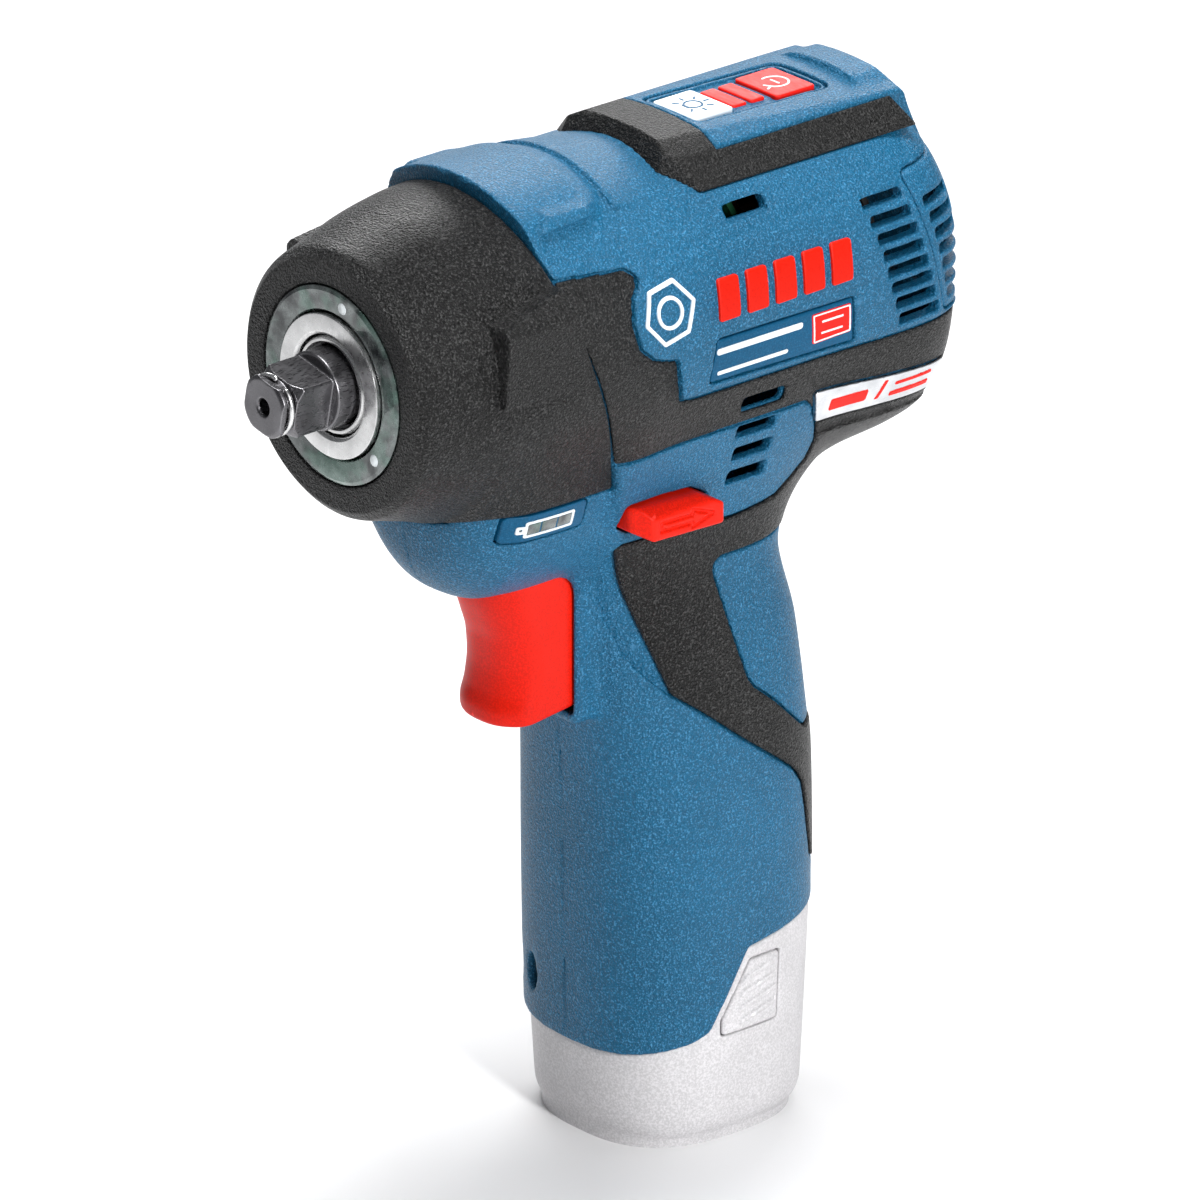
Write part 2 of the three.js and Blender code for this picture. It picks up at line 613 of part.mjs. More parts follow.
function roofFrame() {
  return cut(common(roofBlock(), bandZone(0)), ROOF_FLOOR, panelZone(0));
}
function roofPanel() {
  const bump = loft([
    [[-13.2, 31, 177], [13.2, 31, 177], [11, 31, 181.6], [-11, 31, 181.6]],
    [[-13.4, 34.8, 177], [13.4, 34.8, 177], [8.4, 34.8, 182.5], [-8.4, 34.8, 182.5]],
    [[-13.2, 40.4, 176], [13.2, 40.4, 176], [7.4, 40.4, 182.3], [-7.4, 40.4, 182.3]],
    [[-11.4, 41.8, 174], [11.4, 41.8, 174], [7.2, 41.8, 178], [-7.2, 41.8, 178]],
  ]);
  const body = join(common(roofBlock(), panelZone(-GAP)), common(bump, panelZone(-GAP)));
  return body;
}
const KEYPAD = { x: 7.2, y0: -0.5, y1: 29.5, floor: 181.0 };
const LIGHT_KEY = [-5.6, 5.6, 0.8, 9.6];
const MODE_KEY = [-5.6, 5.6, 19.2, 28];
const LAMPS = [[10.4, 13.6], [14.4, 17.6]];
const KEY_TOP = 181.8;

function keyHoles() {
  const holes = [box(-KEYPAD.x, KEYPAD.x, KEYPAD.y0, KEYPAD.y1, KEYPAD.floor, 190)];
  for (const [x0, x1, y0, y1] of [LIGHT_KEY, MODE_KEY]) {
    holes.push(box(x0 - GAP, x1 + GAP, y0 - GAP, y1 + GAP, 170, 190));
  }
  for (const [y0, y1] of LAMPS) holes.push(box(-4.3, 4.3, y0 - 0.2, y1 + 0.2, 170, 190));
  return holes;
}
add('roof_frame', roofFrame(), SOFT);
add('roof_panel', cut(roofPanel(), ROOF_FLOOR, ...keyHoles()), BLUE);
const keyBody = ([x0, x1, y0, y1]) => box(x0, x1, y0, y1, 179.2, KEY_TOP);
add('light_button', keyBody(LIGHT_KEY), WHITE);
add('mode_button', keyBody(MODE_KEY), RED);
LAMPS.forEach(([y0, y1], i) => {
  add(`speed_lamp_${i + 1}`, box(-4, 4, y0, y1, 179.6, 181.5), RED);
});

// Vents, given as (y, z) corners of each slot on the left; the right side mirrors them.
function ventSlots() {
  const slots = [];
  for (let i = 0; i < 8; i += 1) {
    const y = 20.3 + i * 0.9;
    const z = 166.4 - i * 3.05;
    slots.push([y, y + 9.2, z, z + 1.9]);
  }
  slots.push([-6.5, 2.1, 131.8, 134], [-6.1, 2.3, 127.1, 129.6], [-6, 2.5, 122.2, 124.8]);
  slots.push([-7.4, 1.6, 170.6, 173]);
  return slots;
}
function rearSlots() {
  const slots = [];
  for (let i = 0; i < 7; i += 1) {
    const z = 163.6 - i * 2.9;
    slots.push([rearSeamAt(z) + 1.8, rearSeamAt(z) + 8, z, z + 1.8]);
  }
  return slots;
}
const slotBoxes = (slots) => slots.map(([y0, y1, z0, z1]) => join(
  box(18, 40, y0, y1, z0, z1), box(-40, -18, y0, y1, z0, z1)));

const TRIGGER = { half: 9, bottom: 82.6, top: 109.5 };
const SELECTOR = [[-28.5, 124.6], [-13.5, 123.6], [-10.2, 121.8], [-10.2, 118], [-26, 118.8],
  [-28.5, 120]];
const selectorSlot = () => slabX(grow(SELECTOR, 0.5), -40, 40);
const GAUGE = { y0: -53.4, y1: -37.2, z0: 123.2, z1: 128.2 };
const PLATE = { y0: -15, y1: 16.2, z0: 145, z1: 153, floor: 28.0 };
const EMBLEM = { y: -24.7, z: 160.5, r: 5.6, floor: 26.4 };
const BADGE = { y0: 12, y1: 39, z0: 129.4, z1: 134.8 };

// The rib inside the shell that holds the stator.
function innerRibs() {
  return common(sleeve(22.95, 27.6, 14, 16), bodySolid(0.5));
}

function shell() {
  const hollowHead = headSolid(WALL, -60, 46.2 - WALL);
  const hollowBlock = blockSolid(WALL, BLOCK_FRONT + 2.3, -12);
  const hollowGrip = handleSolid(GRIP_WALL, -1, 131);
  const caseRoom = rodY(25.9, -80, -6, 0, AXIS_Z, 40);
  const block = cut(common(blockSolid(0, BLOCK_FRONT, -10), box(-40, 40, -70, -20, 100, 152)),
    bootRoom());
  const low = box(-40, 40, -70, 60, 0, 118.2);
  const outer = join(common(OUTER, join(behindSeam(0), low, block)), collar());
  let body = cut(outer, hollowHead, hollowBlock, hollowGrip, caseRoom);
  body = join(body, cut(innerRibs(), handleSolid(0, 40, 124)));
  body = common(body, aboveRim(GAP));
  body = cut(body, rearZone(0), bootRoom());
  // Shallow beds for the soft overmould.
  const grooves = [BAND, GRIP].map((outline) => cut(slabX(outline, -40, 40), FLOOR));
  body = cut(body, ...grooves);
  body = cut(body, cut(roofBlock(-GAP), bodySolid(0.9)));
  body = cut(body, ...slotBoxes(ventSlots()));
  body = cut(body, box(-15, 15, -8, 34, 176, 200));
  // Openings for the trigger, the selector and the charge window.
  body = cut(body, box(-9.4, 9.4, -46.4, -10, TRIGGER.bottom - 0.6, TRIGGER.top + 0.6));
  body = cut(body, selectorSlot());
  body = cut(body, box(12, 40, GAUGE.y0 - 0.3, GAUGE.y1 + 0.3, GAUGE.z0 - 0.3, GAUGE.z1 + 0.3));
  for (const side of [1, -1]) {
    const [a, b] = side > 0 ? [PLATE.floor - GAP, 40] : [-40, GAP - PLATE.floor];
    body = cut(body, box(a, b, PLATE.y0 - GAP, PLATE.y1 + GAP, PLATE.z0 - GAP, PLATE.z1 + GAP));
    const [c, d] = side > 0 ? [EMBLEM.floor - GAP, 40] : [-40, GAP - EMBLEM.floor];
    body = cut(body, rodX(EMBLEM.r + GAP, c, d, EMBLEM.y, EMBLEM.z, 20));
    body = cut(body, badgeRoom(side));
  }
  return body;
}
// The shallow pocket of the metal badge at the rear of each side.
function badgeRoom(side) {
  const [a, b] = side > 0 ? [16, 40] : [-40, -16];
  return cut(box(a, b, BADGE.y0 - GAP, BADGE.y1 + GAP, BADGE.z0 - GAP, BADGE.z1 + GAP),
    bodySolid(0.9));
}
// The room that the boot takes, with its clearance.
function bootRoom() {
  const room = turned([[0, -90], [23.5, -75], [26.2, -65], [27.5, -60], [28.4, -55], [28.95, -50],
    [28.95, -14], [0, -14]], 26);
  return common(room, aheadOfSeam(100, 0));
}
const SHELL = shell();
for (const [name, side] of [['left', 1], ['right', -1]]) {
  const half = common(SHELL, halfSpace(side));
  add(`housing_${name}`, half, BLUE);
}

// Soft overmould on each half: the side band and the grip, one piece.
function overmould(side) {
  const zone = join(slabX(BAND, -40, 40), slabX(GRIP, -40, 40));
  let skin = cut(common(cut(OUTER, bootRoom()), zone), CORE);
  skin = cut(skin, aheadOfSeam(118, 0));
  skin = common(skin, halfSpace(side));
  skin = cut(skin, rearZone(-GAP));
  const slotSides = [box(18, 40, -6.6, 2.9, 137, 139.6), box(-40, -18, -6.6, 2.9, 137, 139.6)];
  skin = cut(skin, selectorSlot(), ...slotSides);
  const [a, b] = side > 0 ? [20, 40] : [-40, -20];
  skin = cut(skin, rodX(EMBLEM.r + GAP + 1.3, a, b, EMBLEM.y, EMBLEM.z, 20));
  skin = cut(skin, box(-9.4, 9.4, -46.4, -10, TRIGGER.bottom - 0.6, TRIGGER.top + 0.6));
  return cut(skin, badgeRoom(side));
}
for (const [name, side] of [['left', 1], ['right', -1]]) {
  add(`soft_grip_${name}`, overmould(side), SOFT);
}

// Rear cover: the end cap with the air slots and the rear bearing's seat.
function rearCover() {
  const hollow = headSolid(WALL, 20, 46.2 - WALL);
  let cap = cut(common(OUTER, rearZone(GAP)), hollow);
  const seat = cut(sleeve(6.8, 9.2, 36.6, 45, 20), rodY(6.8, 30, 41, 0, AXIS_Z, 20));
  const boss = common(join(seat, rodY(9.2, 41, 45, 0, AXIS_Z, 20)), headSolid(0.5, 30, 45.7));
  cap = join(cap, common(boss, box(-20, 20, 30, 46, AXIS_Z + REAR_LOW + GAP, 180)));
  return cut(cap, ...slotBoxes(rearSlots()));
}
add('rear_cover', rearCover(), BLUE);

// ---------------------------------------------------------------- side trim
for (const [name, side] of [['left', 1], ['right', -1]]) {
  const sheet = (floor, inset = 0) => cut(bodySolid(inset), bodySolid(floor));
  const slab = ({ y0, y1, z0, z1 }, x) => (side > 0 ? box(x, 40, y0, y1, z0, z1)
    : box(-40, -x, y0, y1, z0, z1));
  const ofPlate = side > 0 ? box(PLATE.floor, 28.7, PLATE.y0, PLATE.y1, PLATE.z0, PLATE.z1)
    : box(-28.7, -PLATE.floor, PLATE.y0, PLATE.y1, PLATE.z0, PLATE.z1);
  add(`name_plate_${name}`, common(ofPlate, OUTER), BLUE);
  const [a, b] = side > 0 ? [EMBLEM.floor, 40] : [-40, -EMBLEM.floor];
  add(`emblem_${name}`, common(rodX(EMBLEM.r, a, b, EMBLEM.y, EMBLEM.z, 20), bodySolid(-0.3)), WHITE);
  add(`motor_badge_${name}`, common(slab(BADGE, 18), sheet(0.6, 0.02)), SILVER);
}
const gauge = box(12, 40, GAUGE.y0, GAUGE.y1, GAUGE.z0, GAUGE.z1);
add('charge_window', cut(common(cut(OUTER, bootRoom()), gauge), FLOOR), LENS);

// ---------------------------------------------------------------- controls
function trigger() {
  const side = [[-30, 83.4], [-38, 82.8], [-41.4, 83.6], [-43, 86], [-42, 90], [-41.5, 94],
    [-42, 98], [-43.3, 102], [-44.6, 106.5], [-45, 109], [-16.5, 109], [-16.5, 83.4]];
  const blade = slabX(side, -TRIGGER.half, TRIGGER.half);
  const corner = (s) => slabZ([[s * 9.2, -33], [s * 9.2, -60], [s * 3.4, -60], [s * 3.4, -45.4]],
    80, 115);
  return cut(blade, corner(1), corner(-1));
}
add('trigger', trigger(), RED);
const triggerSpring = coil((u, v, w) => new THREE.Vector3(u, -15.7 + w, 96 + v),
  4, 3.2, 10.9, 0.5, 8, 4);
add('trigger_spring', triggerSpring, BRIGHT);
add('switch_body', cut(box(-8.5, 8.5, -8.6, 12.4, 84.5, 106), rodY(4.4, -9, -4.2, 0, 96, 10)), DARK);

add('direction_selector', slabX(SELECTOR, -25.6, 25.6), RED);

// ---------------------------------------------------------------- electronics
add('control_board', box(-14, 14, -13, 11, 79.2, 81), BOARD);
function terminalBlock() {
  const base = slabZ([[-13, -12], [13, -12], [15, -8], [15, 9], [-15, 9], [-15, -8]], 73.6, 78.4);
  return cut(base, box(-10.4, -7.6, -4, 4, 70, 76.8), box(7.6, 10.4, -4, 4, 70, 76.8),
    box(-1.4, 1.4, -4, 4, 70, 76.8));
}
add('terminal_block', terminalBlock(), DARK);

// ---------------------------------------------------------------- battery pack
const stemSolid = (inset, from, to) => loft([from, to].map((z) =>
  handleRing([z, STEM.w, STEM.front, STEM.rear], inset)));
const CELL_SPOTS = [[-CELL_R - 0.1, 6], [CELL_R + 0.1, 6], [0, -9.6]];
const CELL_BASE = 2.6;
const SHELL_TOP = 68.2;
const LATCH = [[-6.2, 19.5], [6.5, 19.5], [6.5, 33], [-0.4, 33], [-6.2, 22.8]];
const BUTTON_INNER = 20.2;
function packShell() {
  const foot = cut(common(handleSolid(0, 0, 60), belowRim(0)), box(-40, 40, -40, 40, 36.5, 90));
  let shellBody = join(foot, stemSolid(0, 10, SHELL_TOP));
  const inner = join(stemSolid(0.9, 2.2, 70), ...CELL_SPOTS.map(([x, y]) =>
    rodZ(CELL_R + 0.15, 2.2, 70, x, y, 16)));
  shellBody = cut(shellBody, inner);
  for (const s of [1, -1]) {
    const [a, b] = s > 0 ? [BUTTON_INNER - 1.8, 40] : [-40, 1.8 - BUTTON_INNER];
    shellBody = cut(shellBody, slabX(grow(LATCH, GAP), a, b));
  }
  return shellBody;
}
add('pack_shell', packShell(), GREY);
function packCap() {
  const cap = cut(stemSolid(0, SHELL_TOP + GAP, STEM.top), stemSolid(1.2, 66, 71.6));
  return cut(cap, box(-9.6, -8.4, -3, 3, 70, 75), box(8.4, 9.6, -3, 3, 70, 75));
}
add('pack_cap', packCap(), DARK);
CELL_SPOTS.forEach(([x, y], i) => {
  add(`cell_${i + 1}`, rodZ(CELL_R, CELL_BASE, CELL_BASE + CELL_LENGTH, x, y, 16), SLEEVE);
});
for (const [name, side] of [['left', 1], ['right', -1]]) {
  const [a, b] = side > 0 ? [BUTTON_INNER, 40] : [-40, -BUTTON_INNER];
  const pad = common(handleSolid(0.05, 10, 40), slabX(LATCH, a, b));
  add(`release_button_${name}`, pad, GREY);
}

export default tool;
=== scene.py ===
"""Looks of the compact impact wrench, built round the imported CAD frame.

Shapes are written in millimetres in the CAD frame: +Z up, the anvil points to -Y and
the tool's left side faces +X. A moulded piece is a signed distance field sampled on a
grid (negative inside), turned into a mesh at its zero surface.
"""
import math

import bpy
import numpy as np
import openvdb
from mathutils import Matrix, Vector


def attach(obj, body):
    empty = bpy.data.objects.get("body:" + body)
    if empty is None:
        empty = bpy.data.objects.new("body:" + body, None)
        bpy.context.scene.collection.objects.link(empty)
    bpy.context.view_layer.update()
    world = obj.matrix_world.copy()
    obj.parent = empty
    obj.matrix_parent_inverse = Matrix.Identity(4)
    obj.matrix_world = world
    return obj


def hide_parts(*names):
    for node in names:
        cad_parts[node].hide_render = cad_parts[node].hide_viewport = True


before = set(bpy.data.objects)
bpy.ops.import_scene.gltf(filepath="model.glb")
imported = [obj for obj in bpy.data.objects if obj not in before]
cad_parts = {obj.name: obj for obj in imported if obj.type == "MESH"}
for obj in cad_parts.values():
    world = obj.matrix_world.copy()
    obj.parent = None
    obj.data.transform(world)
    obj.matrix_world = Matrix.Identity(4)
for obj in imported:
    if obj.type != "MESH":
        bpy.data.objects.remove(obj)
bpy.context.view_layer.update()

MM = 0.001
AXIS = 152.0          # height of the spindle axis
GAP = 0.15            # half of the gap between neighbouring pieces
SEAM = 0.02           # half of the parting line between the housing halves
WALL = 2.4            # wall of the head
GRIP_WALL = 1.8       # wall of the handle
DRIVE = 9.525         # square drive across its flats
DRIVE_TURN = 11.7     # degrees that the anvil is turned at rest
ANVIL_TIP = -89.25
PANEL_FACE = 28.9     # distance from the middle plane to the boot's flat side panel
SCREW_DEPTH = 1.7     # from the skin of the housing to a screw's seat

# ---- camera
AIM = (-17.91, 0.0, 86.93)
AZIMUTH, ELEVATION = math.radians(49.12), math.radians(22.97)
DISTANCE = 2500.0
SENSOR, FOCAL = 36.0, 436.9


def add_object(name, data):
    obj = bpy.data.objects.new(name, data)
    bpy.context.scene.collection.objects.link(obj)
    return obj


def make_camera():
    data = bpy.data.cameras.new("camera")
    data.sensor_width, data.lens = SENSOR, FOCAL
    data.clip_start, data.clip_end = 0.1, 20.0
    cam = add_object("camera", data)
    back = Vector((math.sin(AZIMUTH) * math.cos(ELEVATION),
                   -math.cos(AZIMUTH) * math.cos(ELEVATION),
                   math.sin(ELEVATION)))
    cam.location = (Vector(AIM) + back * DISTANCE) * MM
    cam.rotation_euler = back.to_track_quat("Z", "Y").to_euler()
    bpy.context.scene.camera = cam


make_camera()

# ---- body tables
# Head sections along Y: half width, height up, height down, exponents up and down.
HEAD = [
    (-56, 29.2, 29.2, 29.2, 2.0, 2.0),
    (-38, 29.2, 29.2, 29.2, 2.0, 2.0),
    (-30, 29.0, 29.0, 42.5, 2.1, 1.95),
    (-20, 28.8, 28.0, 46.5, 2.4, 1.7),
    (-4, 28.8, 27.6, 47.2, 2.5, 1.65),
    (11, 28.8, 27.6, 46.6, 2.5, 1.65),
    (16, 28.8, 27.6, 43.6, 2.5, 1.75),
    (20, 28.8, 27.6, 39.4, 2.5, 1.95),
    (25, 28.7, 27.6, 36.2, 2.5, 2.25),
    (34, 28.2, 27.0, 33.8, 2.4, 2.6),
    (40, 26.6, 25.4, 31.6, 2.3, 2.8),
    (44, 23.6, 22.2, 28.6, 2.2, 2.8),
    (46.2, 19.2, 17.4, 23.6, 2.2, 2.6),
]
# Block under the nose, the same columns.
BLOCK = [
    (-59, 13.0, 5, 31.0, 2, 2.0),
    (-58.2, 16.5, 5, 35.0, 2, 2.1),
    (-56, 20.0, 5, 39.4, 2, 2.2),
    (-53, 22.3, 5, 42.4, 2, 2.3),
    (-49, 23.8, 5, 44.2, 2, 2.4),
    (-38, 24.4, 5, 45.4, 2, 2.3),
    (-10, 24.4, 5, 46.0, 2, 2.0),
]
# Handle sections up Z: half width, front reach, rear reach.
HANDLE = [
    (0, 22.0, 22.8, 22.2),
    (5, 22.1, 22.9, 22.4),
    (30, 22.4, 23.6, 22.6),
    (48, 22.5, 23.9, 22.5),
    (66, 22.2, 24.2, 22.2),
    (78, 21.2, 25.0, 21.2),
    (90, 19.6, 27.5, 20.0),
    (106, 17.8, 30.3, 16.3),
    (116, 18.2, 33.0, 16.2),
    (130, 19.0, 34.0, 17.0),
]
HANDLE_EXPONENT = 2.67
# Nose boot: radius along Y.
BOOT = [
    (-74.5, 22.0), (-73.3, 23.3), (-73.2, 23.4), (-70, 24.4), (-65, 25.8), (-60, 27.1), (-55, 28.0),
    (-50, 28.6), (-40, 28.9), (-20, 29.0),
]


def seam_y(z):
    """The nose seam leans forward towards the top, less so near its upper end."""
    lean = np.where(z > 160, -43.5 - 0.2 * (z - 160), -40.5 - 0.375 * (z - AXIS))
    return lean + 0 * z


def rear_seam_y(z):
    return 35.8 - 0.285 * (z - AXIS)


# ---- distance fields
def curve_through(table, q):
    """Smooth monotone interpolation of every column of a table at q."""
    t = np.array(table, float)
    x = t[:, 0]
    q = np.clip(q, x[0], x[-1])
    k = np.clip(np.searchsorted(x, q, side="right") - 1, 0, len(x) - 2)
    h = np.diff(x)
    s = (q - x[k]) / h[k]
    columns = []
    for c in range(1, t.shape[1]):
        y = t[:, c]
        slope = np.diff(y) / h
        m = np.zeros(len(x))
        for i in range(1, len(x) - 1):
            if slope[i - 1] * slope[i] > 0:
                w1 = 2 * h[i] + h[i - 1]
                w2 = h[i] + 2 * h[i - 1]
                m[i] = (w1 + w2) / (w1 / slope[i - 1] + w2 / slope[i])
        m[0], m[-1] = slope[0], slope[-1]
        value = ((2 * s**3 - 3 * s**2 + 1) * y[k] + (s**3 - 2 * s**2 + s) * h[k] * m[k]
                 + (3 * s**2 - 2 * s**3) * y[k + 1] + (s**3 - s**2) * h[k] * m[k + 1])
        columns.append(value.astype(np.float32))
    return columns


def smin(a, b, k):
    """Union of two fields with a fillet of about k."""
    h = np.maximum(k - np.abs(a - b), 0) / k
    return np.minimum(a, b) - h * h * (k * 0.25)


def smax(a, b, k):
    """Intersection of two fields with an edge rounded by about k."""
    h = np.maximum(k - np.abs(a - b), 0) / k
    return np.maximum(a, b) + h * h * (k * 0.25)


def union(*fields):
    out = fields[0]
    for f in fields[1:]:
        out = np.minimum(out, f)
    return out


def both(k, *fields):
    """Intersection of fields with edges rounded by about k."""
    out = fields[0]
    for f in fields[1:]:
        out = smax(out, f, k)
    return out


def step_up(d, width):
    """0 outside a region and 1 inside it, rising over width from its edge inwards."""
    t = np.clip(-d / width, 0, 1)
    return t * t * (3 - 2 * t)


class Grid:
    """Regular sample points. The x range starts at 0 for a piece that is mirrored."""

    def __init__(self, x, y, z, step):
        def axis(a):
            first, last = math.floor(a[0] / step), math.ceil(a[1] / step)
            return np.arange(first, last + 1).astype(np.float32) * np.float32(step)
        ax, ay, az = axis(x), axis(y), axis(z)
        self.x, self.y, self.z = ax[:, None, None], ay[None, :, None], az[None, None, :]
        self.low = np.array([ax[0], ay[0], az[0]])
        self.step = step

    @property
    def r(self):
        return np.sqrt(self.x**2 + (self.z - AXIS)**2)


def section(u, v, half_u, half_v, n):
    """Radial gap to the superellipse |u / half_u|^n + |v / half_v|^n = 1."""
    g = (np.abs(u) / half_u)**n + (np.abs(v) / half_v)**n
    g = np.maximum(g, 1e-9)**(1 / n)
    return np.sqrt(u * u + v * v) * (1 - 1 / g)


def true_distance(f, step):
    """Divides a field by the length of its gradient, so that it measures millimetres."""
    gx, gy, gz = np.gradient(f, np.float32(step))
    return f / np.clip(np.sqrt(gx * gx + gy * gy + gz * gz), 0.6, 3.0)


def barrel(g, table):
    """A body lofted along Y through sections given about the spindle axis."""
    zr = g.z - AXIS
    w, up, down, n_up, n_down = curve_through(table, g.y)
    upper = section(g.x, zr, w, up, n_up)
    lower = section(g.x, zr, w, down, n_down)
    return np.where(zr >= 0, upper, lower).astype(np.float32)


def handle_field(g):
    w, front, rear = curve_through(HANDLE, g.z)
    ahead = section(g.x, g.y, w, front, HANDLE_EXPONENT)
    behind = section(g.x, g.y, w, rear, HANDLE_EXPONENT)
    return np.where(g.y < 0, ahead, behind).astype(np.float32)


def head_and_handle(g):
    head = smax(barrel(g, HEAD), g.y - 46.2, 3.0)
    grip = smax(handle_field(g), g.z - 134, 2.0)
    return true_distance(smin(head, grip, 9.0), g.step)


def block_field(g):
    body = both(2.0, barrel(g, BLOCK), -59.0 - g.y, g.y + 11.0)
    return true_distance(body, g.step)


def boot_radius(y):
    return curve_through(BOOT, y)[0]


def radius_at(profile, y):
    """Radius of a turned outline (radius, y) at y."""
    return np.interp(y, [p[1] for p in profile], [p[0] for p in profile]).astype(np.float32)


def segment(u, v, p, q):
    """Squared distance to the line from p to q."""
    (a, b), (eu, ev) = p, (q[0] - p[0], q[1] - p[1])
    t = np.clip(((u - a) * eu + (v - b) * ev) / (eu * eu + ev * ev + 1e-12), 0, 1)
    return (u - a - t * eu)**2 + (v - b - t * ev)**2


def polygon(u, v, points):
    """Signed distance to a closed outline, negative inside."""
    best = np.full(np.broadcast(u, v).shape, 1e9, np.float32)
    odd = np.zeros(best.shape, bool)
    for p, q in zip(points, points[1:] + points[:1]):
        best = np.minimum(best, segment(u, v, p, q))
        (a, b), (c, d) = p, q
        if b != d:
            crossing = (v >= min(b, d)) & (v < max(b, d))
            odd ^= crossing & (u < a + (v - b) * (c - a) / (d - b))
    dist = np.sqrt(best)
    return np.where(odd, -dist, dist).astype(np.float32)


def rounded(points, radius, steps=5):
    """The outline with each corner turned into an arc."""
    out = []
    n = len(points)
    for i in range(n):
        p = np.array(points[i], float)
        before = np.array(points[i - 1], float) - p
        after = np.array(points[(i + 1) % n], float) - p
        la, lb = np.linalg.norm(before), np.linalg.norm(after)
        before, after = before / la, after / lb
        angle = math.acos(max(-1, min(1, float(before @ after))))
        reach = min(radius / max(math.tan(angle / 2), 1e-3), la * 0.45, lb * 0.45)
        a, b = p + before * reach, p + after * reach
        for k in range(steps + 1):
            t = k / steps
            q = a * (1 - t)**2 + p * 2 * t * (1 - t) + b * t**2
            out.append((float(q[0]), float(q[1])))
    return out


def side(g, points, radius=0.0):
    """Field of an outline given in (y, z)."""
    pts = rounded(points, radius) if radius else list(points)
    return polygon(g.y[0], g.z[0], pts)[None]


def slab(u, low, high):
    return np.maximum(low - u, u - high)


def from_line(g, y, z):
    """Distance from the line along X at (y, z)."""
    return np.sqrt((g.y - y)**2 + (g.z - z)**2)


def turned(a, b, angle):
    """Coordinates a and b seen from axes turned by angle."""
    c, s = math.cos(angle), math.sin(angle)
    return a * c + b * s, b * c - a * s


def rounded_box(u, v, box, radius):
    """Field of a rectangle (u0, u1, v0, v1) with round corners."""
    u0, u1, v0, v1 = box
    du = np.abs(u - (u0 + u1) / 2) - (u1 - u0) / 2 + radius
    dv = np.abs(v - (v0 + v1) / 2) - (v1 - v0) / 2 + radius
    outside = np.sqrt(np.maximum(du, 0)**2 + np.maximum(dv, 0)**2)
    return outside + np.minimum(np.maximum(du, dv), 0) - radius


# ---- fields to meshes
def sample(field, p):
    """Trilinear value of a field at points p, in grid units."""
    top = np.array(field.shape) - 1.001
    p = np.clip(p, 0, top)
    i = p.astype(int)
    f = p - i
    total = 0
    for dx in (0, 1):
        for dy in (0, 1):
            for dz in (0, 1):
                w = (np.abs(1 - dx - f[:, 0]) * np.abs(1 - dy - f[:, 1])
                     * np.abs(1 - dz - f[:, 2]))
                total = total + w * field[i[:, 0] + dx, i[:, 1] + dy, i[:, 2] + dz]
    return total


def slopes(field, p, reach=0.7):
    out = np.zeros_like(p)
    for axis in range(3):
        shift = np.zeros(3)
        shift[axis] = reach
        out[:, axis] = sample(field, p + shift) - sample(field, p - shift)
    return out / np.maximum(np.linalg.norm(out, axis=1, keepdims=True), 1e-9)


def build_mesh(name, points, faces, normals=None):
    """points in millimetres; faces is a list of integer arrays of quads or triangles."""
    mesh = bpy.data.meshes.new(name)
    mesh.vertices.add(len(points))
    mesh.vertices.foreach_set("co", (points * MM).astype(np.float32).ravel())
    loops = np.concatenate([f.ravel() for f in faces]).astype(np.int32)
    sizes = np.concatenate([np.full(len(f), f.shape[1]) for f in faces])
    starts = np.concatenate([[0], np.cumsum(sizes)[:-1]]).astype(np.int32)
    mesh.loops.add(len(loops))
    mesh.loops.foreach_set("vertex_index", loops)
    mesh.polygons.add(len(sizes))
    mesh.polygons.foreach_set("loop_start", starts)
    mesh.polygons.foreach_set("use_smooth", np.ones(len(sizes), bool))
    mesh.update(calc_edges=True)
    mesh.validate()
    if normals is not None:
        mesh.normals_split_custom_set_from_vertices(normals.tolist())
    return add_object(name, mesh)


def volume(points, faces):
    total = 0.0
    for f in faces:
        for k in range(1, f.shape[1] - 1):
            a, b, c = points[f[:, 0]], points[f[:, k]], points[f[:, k + 1]]
            total += float(np.einsum("ij,ij->i", a, np.cross(b, c)).sum())
    return total


def outward(points, faces):
    """The faces, turned over when they look inwards."""
    if volume(points, faces) < 0:
        return [f[:, ::-1] for f in faces]
    return faces


def drop_crumbs(points, faces):
    """Keeps only the bodies that are more than a few faces big."""
    parent = np.arange(len(points))
    edges = np.concatenate([np.stack([f[:, k], f[:, (k + 1) % f.shape[1]]], 1)
                            for f in faces for k in range(f.shape[1])])
    while True:
        low = np.minimum(parent[edges[:, 0]], parent[edges[:, 1]])
        new = parent.copy()
        np.minimum.at(new, edges[:, 0], low)
        np.minimum.at(new, edges[:, 1], low)
        new = new[new]
        if (new == parent).all():
            break
        parent = new
    labels, counts = np.unique(parent, return_counts=True)
    keep = np.isin(parent, labels[counts > 60])
    return [f[keep[f[:, 0]]] for f in faces]


